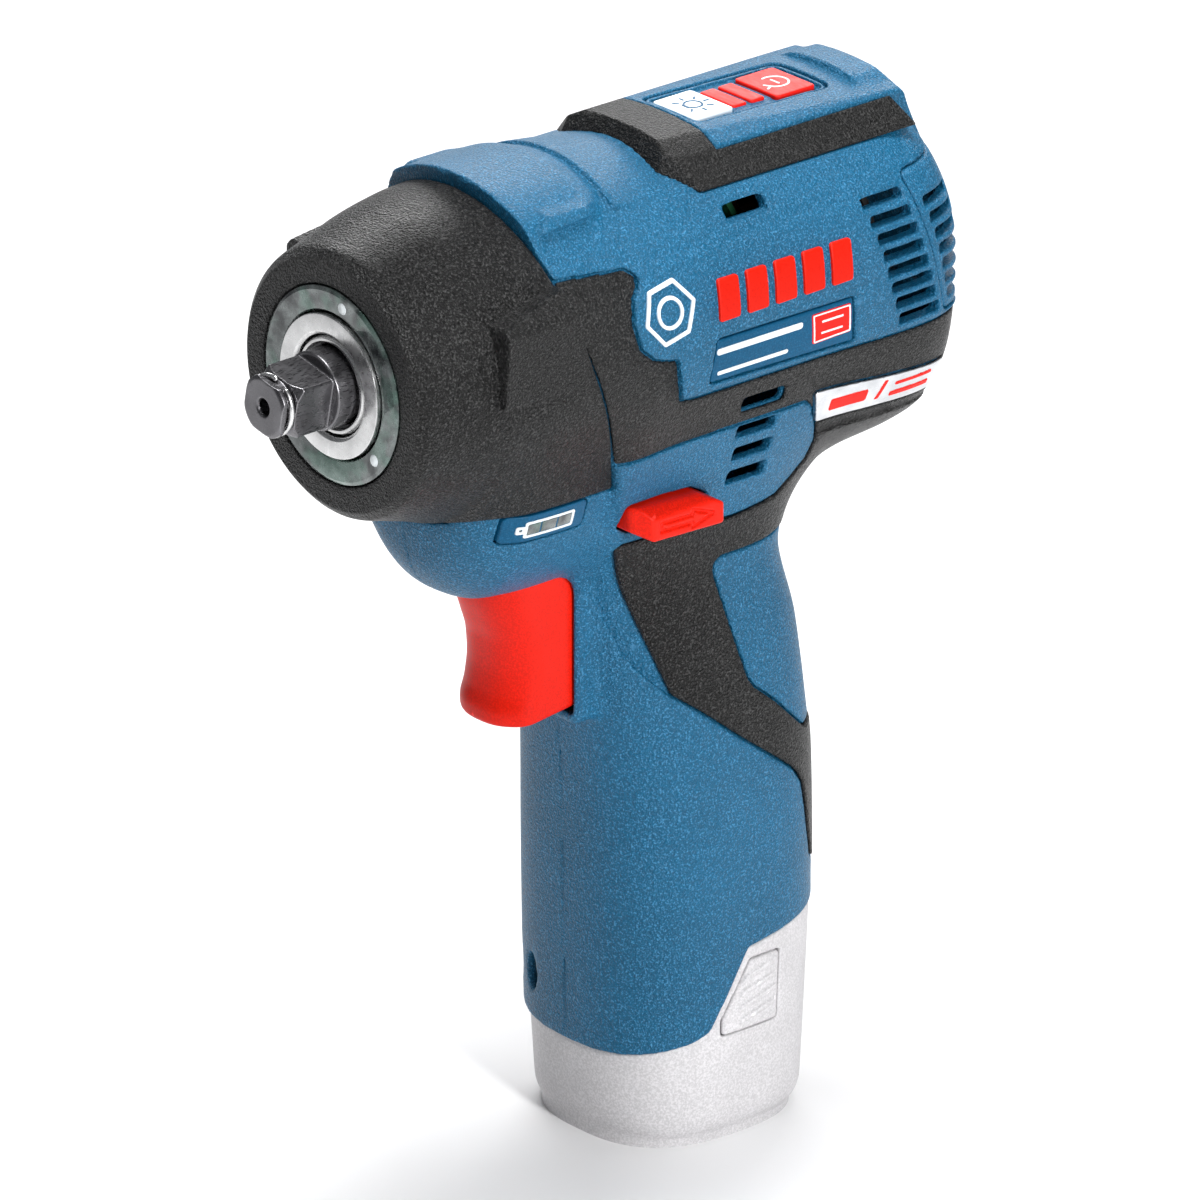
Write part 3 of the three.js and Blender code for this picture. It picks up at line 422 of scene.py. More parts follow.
def skin(name, g, field, mirror=False, flip=False, smooth=0.004, parted=False):
    """Mesh of a field's zero surface. mirror adds the other half, flip turns it over,
    parted keeps the edge at the parting plane sharp."""
    band = 3.0 * g.step
    field = np.clip(field, -band, band).astype(np.float32)
    low = g.low.copy()
    if mirror:
        field = np.concatenate([field[:0:-1], field])
        low[0] = -(field.shape[0] // 2) * g.step
    field = np.ascontiguousarray(field)
    volume_grid = openvdb.FloatGrid()
    volume_grid.background = band
    volume_grid.copyFromArray(field)
    pts, tris, quads = volume_grid.convertToPolygons(isovalue=0.0, adaptivity=smooth)
    normals = slopes(field, pts)
    pts = pts * g.step + low
    if parted:
        near = pts[:, 0] < g.step
        pts[near, 0] = SEAM
        normals[near & (np.abs(normals[:, 0]) < 0.9), 0] = 0.0
        normals /= np.maximum(np.linalg.norm(normals, axis=1), 1e-6)[:, None]
    if flip:
        pts[:, 0] *= -1
        normals[:, 0] *= -1
    faces = outward(pts, [f.astype(np.int64) for f in (quads, tris) if len(f)])
    faces = [f for f in drop_crumbs(pts, faces) if len(f)]
    used = np.unique(np.concatenate([f.ravel() for f in faces]))
    remap = np.zeros(len(pts), np.int64)
    remap[used] = np.arange(len(used))
    return build_mesh(name, pts[used], [remap[f] for f in faces], normals[used])


def place(obj, material, slot, body, *nodes):
    obj.data.materials.append(material)
    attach(obj, body)
    if nodes:
        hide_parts(*nodes)
    return obj


def make(name, g, field, material, slot, body, *nodes, **how):
    """Skins a field and places the piece; how goes to skin."""
    place(skin(name, g, field, **how), material, slot, body, *nodes)


def make_pair(name, g, field, material, slot, body, *nodes, **how):
    """A left piece and its mirror image, with the side's name at the end of each name."""
    for word, flip in (("left", False), ("right", True)):
        make(f"{name}_{word}", g, field, material, slot, body.format(word),
             *[f"{n}_{word}" for n in nodes], flip=flip, **how)


def lathe(name, profile, count=144, axis=(0.0, AXIS)):
    """A closed ring turned about a line along Y: profile is a loop of (radius, y)."""
    n = len(profile)
    turn = np.arange(count) * 2 * math.pi / count
    pts = np.array([[axis[0] + r * math.cos(a), y, axis[1] + r * math.sin(a)]
                    for a in turn for r, y in profile])
    rings = [(i * n, (i + 1) % count * n) for i in range(count)]
    quads = [(a + j, a + (j + 1) % n, b + (j + 1) % n, b + j) for a, b in rings
             for j in range(n)]
    obj = build_mesh(name, pts, outward(pts, [np.array(quads)]))
    obj.data.set_sharp_from_angle(angle=math.radians(28))
    return obj


def make_ring(name, profile, size, material, slot, body, *nodes):
    """A turned piece whose corners are rounded by size, so that edges catch the light."""
    place(lathe(name, rounded(profile, size, 3)), material, slot, body, *nodes)


# ---- materials
class Shader:
    """A Principled material with textures laid out in millimetres of object space."""

    def __init__(self, name, **constants):
        self.material = bpy.data.materials.new(name)
        self.material.use_nodes = True
        self.tree = self.material.node_tree
        self.nodes = self.tree.nodes
        self.bsdf = self.nodes["Principled BSDF"]
        for key, value in constants.items():
            self.bsdf.inputs[key.replace("_", " ")].default_value = value
        place_in_object = self.node("TexCoord", "Object")
        self.mm = self.node("Mapping", "Vector", {"Vector": place_in_object},
                            Scale=(1000, 1000, 1000))

    def link(self, a, b):
        self.tree.links.new(a, b)

    def node(self, kind, output, links=None, **values):
        """Adds a node and returns one of its outputs; values are for unlinked inputs."""
        node = self.nodes.new("ShaderNode" + kind)
        for key, value in values.items():
            node.inputs[key.replace("_", " ")].default_value = value
        for key, source in (links or {}).items():
            self.link(source, node.inputs[key])
        return node.outputs[output]

    def stretched(self, scale):
        return self.node("Mapping", "Vector", {"Vector": self.mm}, Scale=scale)

    def noise(self, scale, detail=2.0, vector=None, rough=0.5):
        return self.node("TexNoise", "Fac", {"Vector": vector or self.mm}, Scale=scale,
                         Detail=detail, Roughness=rough)

    def cells(self, scale):
        return self.node("TexVoronoi", "Distance", {"Vector": self.mm}, Scale=scale)

    def spread(self, value, low, high, to_low=0.0, to_high=1.0):
        return self.node("MapRange", "Result", {"Value": value}, From_Min=low,
                         From_Max=high, To_Min=to_low, To_Max=to_high)

    def mix(self, factor, a, b):
        """Colour a where factor is 0 and b where it is 1; either may be a socket."""
        node = self.nodes.new("ShaderNodeMix")
        node.data_type = "RGBA"
        self.link(factor, node.inputs["Factor"])
        for value, socket in ((a, node.inputs[6]), (b, node.inputs[7])):
            if isinstance(value, bpy.types.NodeSocket):
                self.link(value, socket)
            else:
                socket.default_value = (*value, 1)
        return node.outputs[2]

    def add(self, a, b, weight):
        """a + b * weight."""
        node = self.nodes.new("ShaderNodeMath")
        node.operation = "MULTIPLY_ADD"
        self.link(b, node.inputs[0])
        node.inputs[1].default_value = weight
        self.link(a, node.inputs[2])
        return node.outputs[0]

    def edges(self, low=0.55, high=0.75):
        """Near 1 on sharp outer edges, where the colour is lightened: wear, and on plastic also a
        painted highlight.
        """
        return self.spread(self.node("NewGeometry", "Pointiness"), low, high)

    def finish(self, colour, rough, height, depth_mm):
        """Links colour, roughness and a bump of the given height and depth."""
        bump = self.node("Bump", "Normal", {"Height": height}, Strength=1.0,
                         Distance=depth_mm * MM)
        for key, source in (("Base Color", colour), ("Roughness", rough), ("Normal", bump)):
            self.link(source, self.bsdf.inputs[key])
        return self.material


def srgb(r, g, b):
    """Linear colour from 0-255 screen values."""
    def one(c):
        c /= 255
        return c / 12.92 if c <= 0.04045 else ((c + 0.055) / 1.055)**2.4
    return (one(r), one(g), one(b))


def scaled(colour, k, lift=0.0):
    return tuple(min(1.0, (c + lift) * k) for c in colour)


def moulded(name, colour, rough=0.5, grain=2.6, depth=0.03, glint_share=0.25, specular=0.2):
    """Spark-eroded plastic or rubber: fine pits with painted shade, pale dots that are painted
    glints, slow drift, edges lightened by wear and a painted highlight.
    """
    s = Shader(name, Specular_IOR_Level=specular)
    pits = s.noise(grain, 2.0, rough=0.7)
    fine = s.noise(grain * 1.5, 1.0)
    drift = s.spread(s.noise(0.045, 2.0), 0.35, 0.65)
    base = s.mix(drift, scaled(colour, 0.92), scaled(colour, 1.08))
    # painted glints: pale dots on the fine grain stand in for the sparkle of light on it
    painted_glints = s.spread(fine, 0.52, 0.68, 0.0, glint_share)
    base = s.mix(painted_glints, base, scaled(colour, 2.6, 0.03))
    # painted shade: the colour is darkened where the pits go deepest
    base = s.mix(s.spread(pits, 0.62, 0.40, 0.0, 0.4), base, scaled(colour, 0.45))
    # edges lightened: partly wear, partly a painted highlight
    base = s.mix(s.edges(0.53, 0.62), base, scaled(colour, 1.35, 0.02))
    roughness = s.spread(pits, 0.3, 0.7, rough - 0.08, rough + 0.1)
    return s.finish(base, roughness, s.add(pits, fine, 0.5), depth)


def glossy(name, colour, rough=0.3, coat=0.0, specular=0.2):
    """Smooth moulded plastic with faint flow marks and fine scuffs."""
    s = Shader(name, Coat_Weight=coat, Coat_Roughness=0.12, Specular_IOR_Level=specular)
    drift = s.spread(s.noise(0.06, 2.0), 0.3, 0.7)
    scuffs = s.noise(1.4, 4.0, s.stretched((0.3, 1.0, 3.0)))
    base = s.mix(drift, scaled(colour, 0.94), scaled(colour, 1.05))
    # edges lightened: partly wear, partly a painted highlight
    base = s.mix(s.edges(0.53, 0.64), base, scaled(colour, 1.25, 0.02))
    roughness = s.spread(scuffs, 0.3, 0.75, rough - 0.06, rough + 0.12)
    return s.finish(base, roughness, s.noise(3.2, 2.0), 0.006)


def metal(name, colour, rough=0.3, lines=(1.0, 1.0, 1.0), wear=0.5, depth=0.008):
    """Machined or cast metal: tool lines, stains and bright worn edges."""
    s = Shader(name, Metallic=1.0)
    tool_lines = s.noise(1.5, 3.0, s.stretched(lines))
    stains = s.spread(s.noise(0.22, 4.0), 0.35, 0.7)
    base = s.mix(stains, scaled(colour, 0.82), scaled(colour, 1.08))
    worn = s.spread(s.edges(0.52, 0.6), 0, 1, 0, wear)
    base = s.mix(worn, base, scaled(colour, 1.6, 0.1))
    roughness = s.spread(tool_lines, 0.3, 0.7, rough - 0.08, rough + 0.12)
    return s.finish(base, roughness, tool_lines, depth)


BLUE = moulded("blue_moulded_plastic", srgb(4, 88, 124), 0.40, 2.0, 0.45, 0.62, 0.30)
PLATE_BLUE = moulded("blue_smooth_plate", srgb(4, 78, 114), 0.40, 2.6, 0.03, 0.15, 0.15)
BLACK = moulded("black_soft_rubber", srgb(10, 10, 10), 0.36, 1.8, 0.9, 0.8, 0.30)
BLACK_ROOF = moulded("black_roof_rubber", srgb(12, 12, 12), 0.40, 2.0, 0.5, 0.6, 0.24)
GREY = moulded("grey_pack_plastic", srgb(206, 204, 206), 0.5, 2.4, 0.02, 0.10)
RED = moulded("red_trigger_plastic", srgb(222, 28, 8), 0.40, 2.8, 0.008, 0.02, 0.14)
RED_GLOSS = glossy("red_key_film", srgb(226, 30, 22), 0.42, 0.0, 0.12)
WHITE = glossy("white_print", srgb(222, 228, 232), 0.4)
DARK = moulded("dark_inner_plastic", srgb(34, 34, 36), 0.55, 2.0, 0.02, 0.1)
STEEL = metal("dark_tool_steel", srgb(120, 121, 124), 0.30, (1, 0.4, 1), 0.5)
GUN = metal("hardened_anvil_steel", srgb(118, 117, 120), 0.30, (3, 0.5, 3), 0.6, 0.012)
BRIGHT = metal("bright_turned_steel", srgb(216, 216, 216), 0.26, (0.4, 3.0, 0.4), 0.3)
CAST = metal("cast_gear_case", srgb(196, 198, 200), 0.42, (1, 1, 1), 0.4, 0.02)
COPPER = metal("copper_windings", srgb(186, 104, 62), 0.34, (0.5, 6, 0.5), 0.3, 0.05)
LAMINATE = metal("stacked_laminations", srgb(112, 114, 118), 0.45, (0.1, 9, 0.1), 0.3, 0.04)
SILVER = metal("brushed_silver_label", srgb(214, 216, 219), 0.3, (1, 0.15, 6), 0.2, 0.004)
SCREW = metal("zinc_screw", srgb(170, 172, 176), 0.35, (1, 1, 1), 0.5)


def lens_material():
    """Clear lens over the lamp board: mottled grey-green, the dark and pale mottling a painted
    reflection, with a hard coat.
    """
    s = Shader("lamp_lens_clear", Metallic=0.55, Coat_Weight=0.9, Coat_Roughness=0.06)
    reflection_blotch = s.spread(s.noise(0.35, 4.0), 0.35, 0.68)
    tint = s.spread(s.noise(0.18, 2.0), 0.4, 0.6)
    # painted reflection: dark and pale grey patches stand in for what the clear lens reflects
    base = s.mix(reflection_blotch, srgb(36, 41, 43), srgb(122, 129, 128))
    base = s.mix(s.spread(tint, 0.3, 1.0, 0.0, 0.35), base, srgb(92, 140, 122))
    rough = s.spread(s.noise(1.2, 3.0), 0.3, 0.7, 0.14, 0.34)
    return s.finish(base, rough, s.noise(0.8, 2.0), 0.02)


def board_material():
    s = Shader("green_circuit_board", Coat_Weight=0.5, Coat_Roughness=0.2)
    tracks = s.spread(s.cells(0.5), 0.25, 0.35)
    base = s.mix(tracks, srgb(30, 96, 62), srgb(20, 72, 46))
    return s.finish(base, s.spread(s.noise(2, 2), 0.3, 0.7, 0.3, 0.5), tracks, 0.03)


LENS = lens_material()
BOARD = board_material()
CELL = glossy("cell_sleeve_film", srgb(60, 150, 108), 0.3, 0.2)

# ---- floor and lights
def floor():
    size, n = 1.6, 24
    t = np.linspace(-size, size, n + 1)
    just_below = -0.0004
    pts = np.array([[x, y, just_below] for x in t for y in t]) / MM
    q = np.array([(i * (n + 1) + j, (i + 1) * (n + 1) + j, (i + 1) * (n + 1) + j + 1,
                   i * (n + 1) + j + 1) for i in range(n) for j in range(n)])
    obj = build_mesh("studio_floor", pts, [q])
    s = Shader("pale_studio_floor", Specular_IOR_Level=0.2)
    base = s.mix(s.spread(s.noise(0.004, 2), 0.3, 0.7), (0.86, 0.86, 0.865), (0.9, 0.9, 0.9))
    rough = s.spread(s.noise(0.02, 2), 0.3, 0.7, 0.75, 0.9)
    obj.data.materials.append(s.finish(base, rough, s.noise(0.3, 2), 0.02))


def softbox(name, place_mm, aim_mm, size_mm, power):
    data = bpy.data.lights.new(name, "AREA")
    data.shape = "RECTANGLE"
    data.size, data.size_y = size_mm[0] * MM, size_mm[1] * MM
    data.energy = power
    obj = add_object(name, data)
    obj.location = Vector(place_mm) * MM
    ray = Vector(place_mm) - Vector(aim_mm)
    obj.rotation_euler = ray.to_track_quat("Z", "Y").to_euler()


def studio():
    world = bpy.data.worlds.new("studio")
    world.use_nodes = True
    back = world.node_tree.nodes["Background"]
    back.inputs["Color"].default_value = (0.93, 0.96, 1.0, 1)
    back.inputs["Strength"].default_value = 0.17
    bpy.context.scene.world = world
    softbox("top_box", (-60, 40, 900), (0, 0, 120), (380, 380), 8.0)
    softbox("rear_box", (-640, 560, 480), (0, 0, 140), (620, 260), 4.2)
    softbox("side_box", (900, -160, 480), (0, -10, 140), (180, 320), 9.5)
    softbox("front_box", (-500, -850, 300), (0, -20, 120), (200, 420), 0.25)
    bpy.context.scene.view_settings.view_transform = "Standard"
    bpy.context.scene.view_settings.look = "None"


floor()
studio()

# ---- outlines, (y, z)
# Lower edge of the blue housing over the pack.
RIM = [(-80, 16.6), (-24, 17), (-12, 20), (-9, 21.5), (-1.0, 35.4), (80, 47.0),
       (80, 300), (-80, 300)]
# Soft side band: the notch round the emblem, the edge under the side panel, the neck.
BAND = [(-70, 171.8), (-45.2, 169.8), (-38.1, 169.2), (-30.9, 168.6), (-29.2, 167.2),
        (-29.8, 165.4), (-31.1, 164.0), (-32.2, 160.2), (-31.2, 155.7), (-28.4, 153.2),
        (-25.3, 152.2), (-23.2, 151.8), (-21.6, 143.6), (-17.4, 143.2), (60, 143.3),
        (60, 122), (13.9, 122.0), (14.2, 124.9), (13.0, 128.5), (10.3, 133.2),
        (8.6, 134.7), (-33.8, 134.4), (-70, 134.4)]
# Soft grip on the handle with the blue inlay behind it.
GRIP = [(-23.0, 115.4), (-25.6, 115.3), (-27.4, 113.3), (-27.2, 110.5), (-26.7, 107.4),
        (-25.7, 103.5), (-24.2, 98.4), (-22.6, 94.2), (-20.9, 91.2), (-18.8, 88.6),
        (-15.6, 85.3), (-10.4, 81.4), (-2.6, 75.0), (5.0, 69.2), (9.7, 65.6),
        (12.2, 62.4), (13.3, 58.2), (14.6, 52.1), (15.9, 47.0), (17.5, 45.6),
        (40, 45.6), (40, 71.6), (13.8, 71.8), (11.1, 74.2), (5.9, 79.2), (1.6, 82.8),
        (0.3, 84.6), (-1.9, 92.0), (-3.9, 99.6), (-5.4, 104.6), (-5.4, 106.4),
        (-4.0, 107.5), (0.4, 107.5), (10, 107.9), (40, 108.6), (40, 126), (14.0, 125.5),
        (13.7, 121.4), (10.5, 118.4), (7.4, 116.2), (3.7, 115.6), (-1.9, 115.0)]
SELECTOR = [(-28.4, 124.4), (-14.3, 123.9), (-10.0, 121.6), (-10.0, 117.8), (-25.6, 118.4),
            (-28.4, 120.0)]
TRIGGER_OPENING = (-9.4, 9.4, 82.6, 110.1)
UPPER_HOLE = [(-7.5, 170.6), (1.6, 170.6), (1.7, 173.0), (-7.3, 173.0)]
LOWER_HOLE = [(-6.5, 137.0), (2.9, 137.0), (2.8, 139.6), (-6.8, 139.6)]
BADGE = [(12.4, 129.2), (38.8, 128.6), (40.8, 134.4), (10.2, 136.2)]
PLATE = [(-15.8, 145.3), (16.6, 144.6), (15.9, 153.0), (-14.6, 153.1)]
TAG = [(7.1, 146.4), (15.7, 146.7), (15.3, 152.1), (6.5, 152.1)]
EMBLEM = (-24.7, 160.5, 5.9)
# Flat patch low on each flank of the collar.
FLAT_PATCH = [(-42.5, 179.5), (-32.7, 179.3), (-31.7, 176.7), (-45.1, 176.2)]
# Side panel that stands a little proud, its upper edge is the long crease.
SIDE_PANEL = [(-33.5, 169.0), (60, 168.6), (60, 143.4), (-21, 143.6), (-36, 150)]
BOOT_PANEL = [(-61.0, 152.6), (-60.0, 166.0), (-47.2, 169.2), (-20, 172), (-20, 152.6)]
LATCH = [(-6.2, 19.8), (6.5, 19.8), (6.5, 33), (-0.4, 33), (-6.2, 23.0)]
SCREWS = [(-33, 126.5), (-17.5, 134), (24, 141), (14, 171.5), (-1.5, 66), (-11.5, 44),
          (-28, 172)]    # in the right half
# Boxes (y0, y1, z0, z1), and for the rear (y behind the seam, z, length).
SIDE_SLOTS = [(20.3 + 0.9 * i, 29.5 + 0.95 * i, 166.4 - 3.05 * i, 168.3 - 3.05 * i)
              for i in range(8)]
LOW_SLOTS = [(-6.6, 2.1, 131.8, 134.0), (-6.1, 2.3, 127.1, 129.6), (-6.0, 2.5, 122.2, 124.8)]
REAR_SLOTS = [(1.8, 163.6 - 2.9 * i, 8.0) for i in range(7)]
WINDOW = (-53.6, -37.0, 123.0, 128.5)
BOOT_BOTTOM = 128.9   # beside the nose, the boot reaches down to this height
# Lengths of the light key and the mode key along Y.
KEYS = [(0.8, 9.6), (19.2, 28.0)]
KEY_HALF = 5.6        # half the width of both keys
# Outside of the hammer case behind its neck: radius, y.
CASE_OUTER = [(19.5, -70.3), (21.5, -68.7), (23.2, -63), (24.6, -57), (25.5, -50), (25.6, -7)]


# ---- shared body field
STEP = 0.4
shell_grid = Grid((-0.8, 31.6), (-66, 48), (-1.2, 186), STEP)
shell_body = head_and_handle(shell_grid)
shell_block = block_field(shell_grid)


def nose_room(g, clearance):
    """The space that the boot takes, ahead of the seam."""
    radial = g.r - boot_radius(g.y) - clearance
    upper = BOOT_BOTTOM - clearance - g.z
    return smax(np.minimum(radial, upper), g.y - seam_y(g.z), 0.5)


def framed(g, body):
    """The body with the rim that stands forward round the trigger opening."""
    rim = both(2.0, rounded_box(g.x, g.z, (-10.6, 10.6, 80.6, 113), 2.4), -30.0 - g.y,
               g.y + 15)
    return smin(body, rim, 1.8)


def trigger_opening(g):
    hole = rounded_box(g.x, g.z, TRIGGER_OPENING, 1.2)
    return both(0.3, hole, g.y + 18, -46.4 - g.y)


def side_cut(g, points, inner, grow=0.0):
    """An opening in the side, from the plane x = inner outwards."""
    return np.maximum(side(g, points, 0.8) - grow, inner - g.x)


def outer_shell(g, body, block):
    """Outer surface of the blue housing before the soft parts are let into it."""
    ahead = np.maximum(g.y - seam_y(g.z) - GAP, 118 - g.z)
    behind = framed(g, smax(body, -ahead, 0.6))
    low = smax(block, -nose_room(g, 2 * GAP), 0.6)
    return smin(smin(behind, low, 3.0), collar(g), 0.4)


def collar(g):
    """Two steps round the top behind the nose seam, with a flat patch low on each flank."""
    ax = np.abs(g.x)
    foot = AXIS + 19.8 - g.z
    lift = 0.7 * np.clip(-side(g, FLAT_PATCH) / 0.5, 0, 1)
    taper = 0.45 * np.clip(AXIS + 26.5 - g.z, 0, 9)
    front = both(0.25, g.r - 31.3 + taper - lift * (ax > 10), seam_y(g.z) + GAP - g.y,
                 ((g.y + 32) * 0.36 + g.r - 31.2 + taper) / 1.06, 26 - g.r, foot)
    rear = both(0.2, g.r - 30.4 + 0.13 * (g.y + 27), -27.4 - g.y + 0.5 * (g.r - 30), g.y + 6,
                26 - g.r, ax - 17.4 + 0.3 * (AXIS + 25 - g.z), foot)
    return smin(front, rear, 0.3)


# ---- housing
def hollow_of(g, body, block):
    """Field of the room inside the housing."""
    rise = np.clip((g.z - 118) / 10, 0, 1)
    wall = GRIP_WALL + (WALL - GRIP_WALL) * rise
    room = smin(body + wall, smax(block + WALL, g.z - 132, 0.5), 1.0)
    case = smax(g.r - 25.9, g.y + 6, 0.4)
    return np.minimum(room, case)


def side_slot(g, *box):
    return np.maximum(rounded_box(g.y, g.z, box, 0.35), 17 - g.x)


def roof_top(g):
    """Crowned top of the roof, falling slightly towards the rear."""
    return g.z - 182.9 + 0.0065 * g.x**2 + 0.03 * (g.y + 10)


def roof_field(g):
    """The faceted cap on top of the head."""
    ax = np.abs(g.x)
    planes = [
        ax - 18.8,
        (4.4 * (ax - 18.6) + 4.8 * (g.z - 175.6)) / 6.51,
        (2.0 * (ax - 13.8) + 3.8 * (g.z - 180.0)) / 4.29,
        roof_top(g),
        (-4.6 * (g.y + 13.4) + 2.6 * (g.z - 178.3)) / 5.28,
        (g.y - 40.2) * 0.9 + (g.z - 180.0) * 0.42,
        (5.2 * (ax - 14.2) - 5.4 * (g.y + 10.6) + 3.4 * (g.z - 180)) / 8.23,
    ]
    return both(0.22, *planes)


def panel_zone(g):
    return np.maximum(np.abs(g.x) - 13.8, -1.6 - g.y)


def rear_zone(g):
    return side(g, [(rear_seam_y(170.2), 170.2), (80, 170.2), (80, 144.3),
                    (rear_seam_y(144.3), 144.3)], 1.6)


def housing_field(g, body, block, screws):
    outer = outer_shell(g, body, block)
    on_side = np.clip((g.x - 12) / 4, 0, 1)
    outer = outer - 0.4 * step_up(side(g, SIDE_PANEL, 1.5), 0.9) * on_side
    zones = np.minimum(side(g, BAND, 0.8), side(g, GRIP, 0.8))
    under = framed(g, body)
    recess = np.maximum(zones - GAP, -(under + 0.95))
    shell = smax(outer, -recess, 0.35)
    shell = smax(shell, -hollow_of(g, body, block), 0.4)
    shell = smax(shell, side(g, RIM, 0.8) + GAP, 0.5)
    shell = smax(shell, SEAM - g.x, 0.06)
    shell = smax(shell, -nose_room(g, GAP), 0.3)
    shell = smax(shell, -(rear_zone(g) - GAP), 0.4)
    roof_seat = both(0.3, roof_field(g) - GAP, -(body + 0.9), 175.0 - g.z)
    shell = smax(shell, -roof_seat, 0.3)
    for slot in SIDE_SLOTS + LOW_SLOTS:
        shell = smax(shell, -side_slot(g, *slot), 0.4)
    for hole in (UPPER_HOLE, LOWER_HOLE):
        shell = smax(shell, -side_cut(g, hole, 15), 0.4)
    shell = smax(shell, -side_cut(g, SELECTOR, 8, 0.35), 0.3)
    shell = smax(shell, -trigger_opening(g), 0.5)
    seats = [(rounded_box(g.y, g.z, WINDOW, 1.0), np.minimum(block, body) + 1.2, 12),
             (side(g, PLATE, 0.8), body + 0.9, 20), (side(g, BADGE, 0.8), body + 1.0, 15)]
    for outline, below, inner in seats:
        shell = smax(shell, -both(0.2, outline - GAP, -below, inner - g.x), 0.25)
    if screws:
        around = np.sqrt((g.x - 13.2)**2 + (g.y + 20.6)**2) - 3.6
        eyelet = np.sqrt(around**2 + (0.5 * (g.z - 26.5))**2) - 1.7
        shell = smax(shell, -eyelet, 0.5)
        for y, z in SCREWS:
            bore = both(0.2, from_line(g, y, z) - 3.3, -(body + SCREW_DEPTH), 5 - g.x)
            shell = smax(shell, -bore, 0.5)
    return shell


def make_housing():
    for name, right in (("housing_left", False), ("housing_right", True)):
        field = housing_field(shell_grid, shell_body, shell_block, screws=right)
        make(name, shell_grid, field, BLUE, "blue_plastic", "housing", name, flip=right,
             parted=True)


# ---- overmould
def soft_field(g, body):
    """Band and grip of one half: the band lies low, the grip stands proud."""
    band, grip = side(g, BAND, 0.8), side(g, GRIP, 0.8)
    zone = np.minimum(band, grip) + GAP
    proud = np.where(g.z > 126, -0.15, 0.25) + 0 * g.x
    under = framed(g, body)
    soft = both(0.45, under - proud, zone, -(under + 0.8), SEAM - g.x)
    soft = smax(soft, seam_y(g.z) + GAP - g.y, 0.4)
    soft = smax(soft, -(rear_zone(g) - GAP), 0.4)
    soft = smax(soft, -side_cut(g, LOWER_HOLE, 15), 0.4)
    soft = smax(soft, -side_cut(g, SELECTOR, 8, 0.35), 0.3)
    soft = smax(soft, -side_cut(g, BADGE, 15, GAP), 0.25)
    return smax(soft, -trigger_opening(g), 0.4)


def make_soft():
    """The overmould, with the outline of a blank embossed label near its foot."""
    g = shell_grid
    soft = soft_field(g, shell_body)
    u, v = turned(g.y - 13.4, g.z - 78.5, -0.62)
    label = rounded_box(u, v, (-5.0, 5.0, -1.7, 1.7), 1.7 * 0.8)
    soft = soft - 0.22 * step_up(np.abs(label) - 0.35, 0.3) * (g.x > 8)
    make_pair("soft_grip", g, soft, BLACK, "soft_black", "housing", "soft_grip",
              parted=True)


# ---- nose
def make_boot():
    g = Grid((0, 32), (-76, -28), (120, 184), 0.3)
    base = boot_radius(g.y)
    slope = np.gradient(base[0, :, 0], g.step)[None, :, None]
    outer = (g.r - base) / np.sqrt(1 + np.minimum(slope, 1.2)**2)
    pad = both(0.25, side(g, BOOT_PANEL), g.x - PANEL_FACE, 15 - g.x,
               ((g.x - PANEL_FACE) * 5.0 + (g.z - 165.0) * 4.2) / 6.53)
    outer = smin(outer, pad, 0.2)
    skirt = both(0.8, block_field(g) - 0.1, BOOT_BOTTOM + GAP - g.z, g.z - AXIS + 6)
    outer = smin(outer, skirt, 5.0)
    body = both(0.22, outer, -74.5 - g.y, g.y - seam_y(g.z) + GAP)
    core = np.maximum(g.r - radius_at(CASE_OUTER, g.y) - 0.3, -70.5 - g.y)
    body = smax(body, -core, 0.3)
    body = smax(body, 17.5 - g.r, 0.5)
    make("nose_boot", g, body, BLACK, "soft_black", "housing", "nose_boot", mirror=True)


def make_case():
    case = ([(8.95, -74.7), (9.5, -75.2), (12.6, -75.2), (12.6, -70.3)] + CASE_OUTER
            + [(22.8, -7), (22.8, -52), (20.5, -60), (8.95, -60)])
    make_ring("hammer_case_shell", case, 0.25, BRIGHT, "cast_metal", "housing",
              "hammer_case")
    lens = [(12.95, -74.1), (13.2, -74.55), (16.6, -74.75), (17.25, -74.4), (17.25, -73.4),
            (12.95, -73.4)]
    make_ring("lamp_lens_ring", lens, 0.12, LENS, "lens", "housing", "lamp_lens")
    dome = [(0.0, -74.95), (0.55, -74.9), (0.95, -74.75), (1.15, -74.5), (1.15, -73.6),
            (0.0, -73.6)]
    for i, angle in enumerate((78, -42, 198)):
        a = math.radians(angle)
        at = (15.0 * math.cos(a), AXIS + 15.0 * math.sin(a))
        place(lathe(f"lamp_dome_{i + 1}", dome, 32, at), WHITE, "lens", "housing")
    bush = [(7.3, -74.0), (7.7, -74.8), (8.2, -74.8), (8.6, -74.2), (8.6, -58.2),
            (6.95, -58.2), (6.95, -73.6)]
    make_ring("anvil_bush_ring", bush, 0.1, BRIGHT, "bright_steel", "housing",
              "anvil_bush")


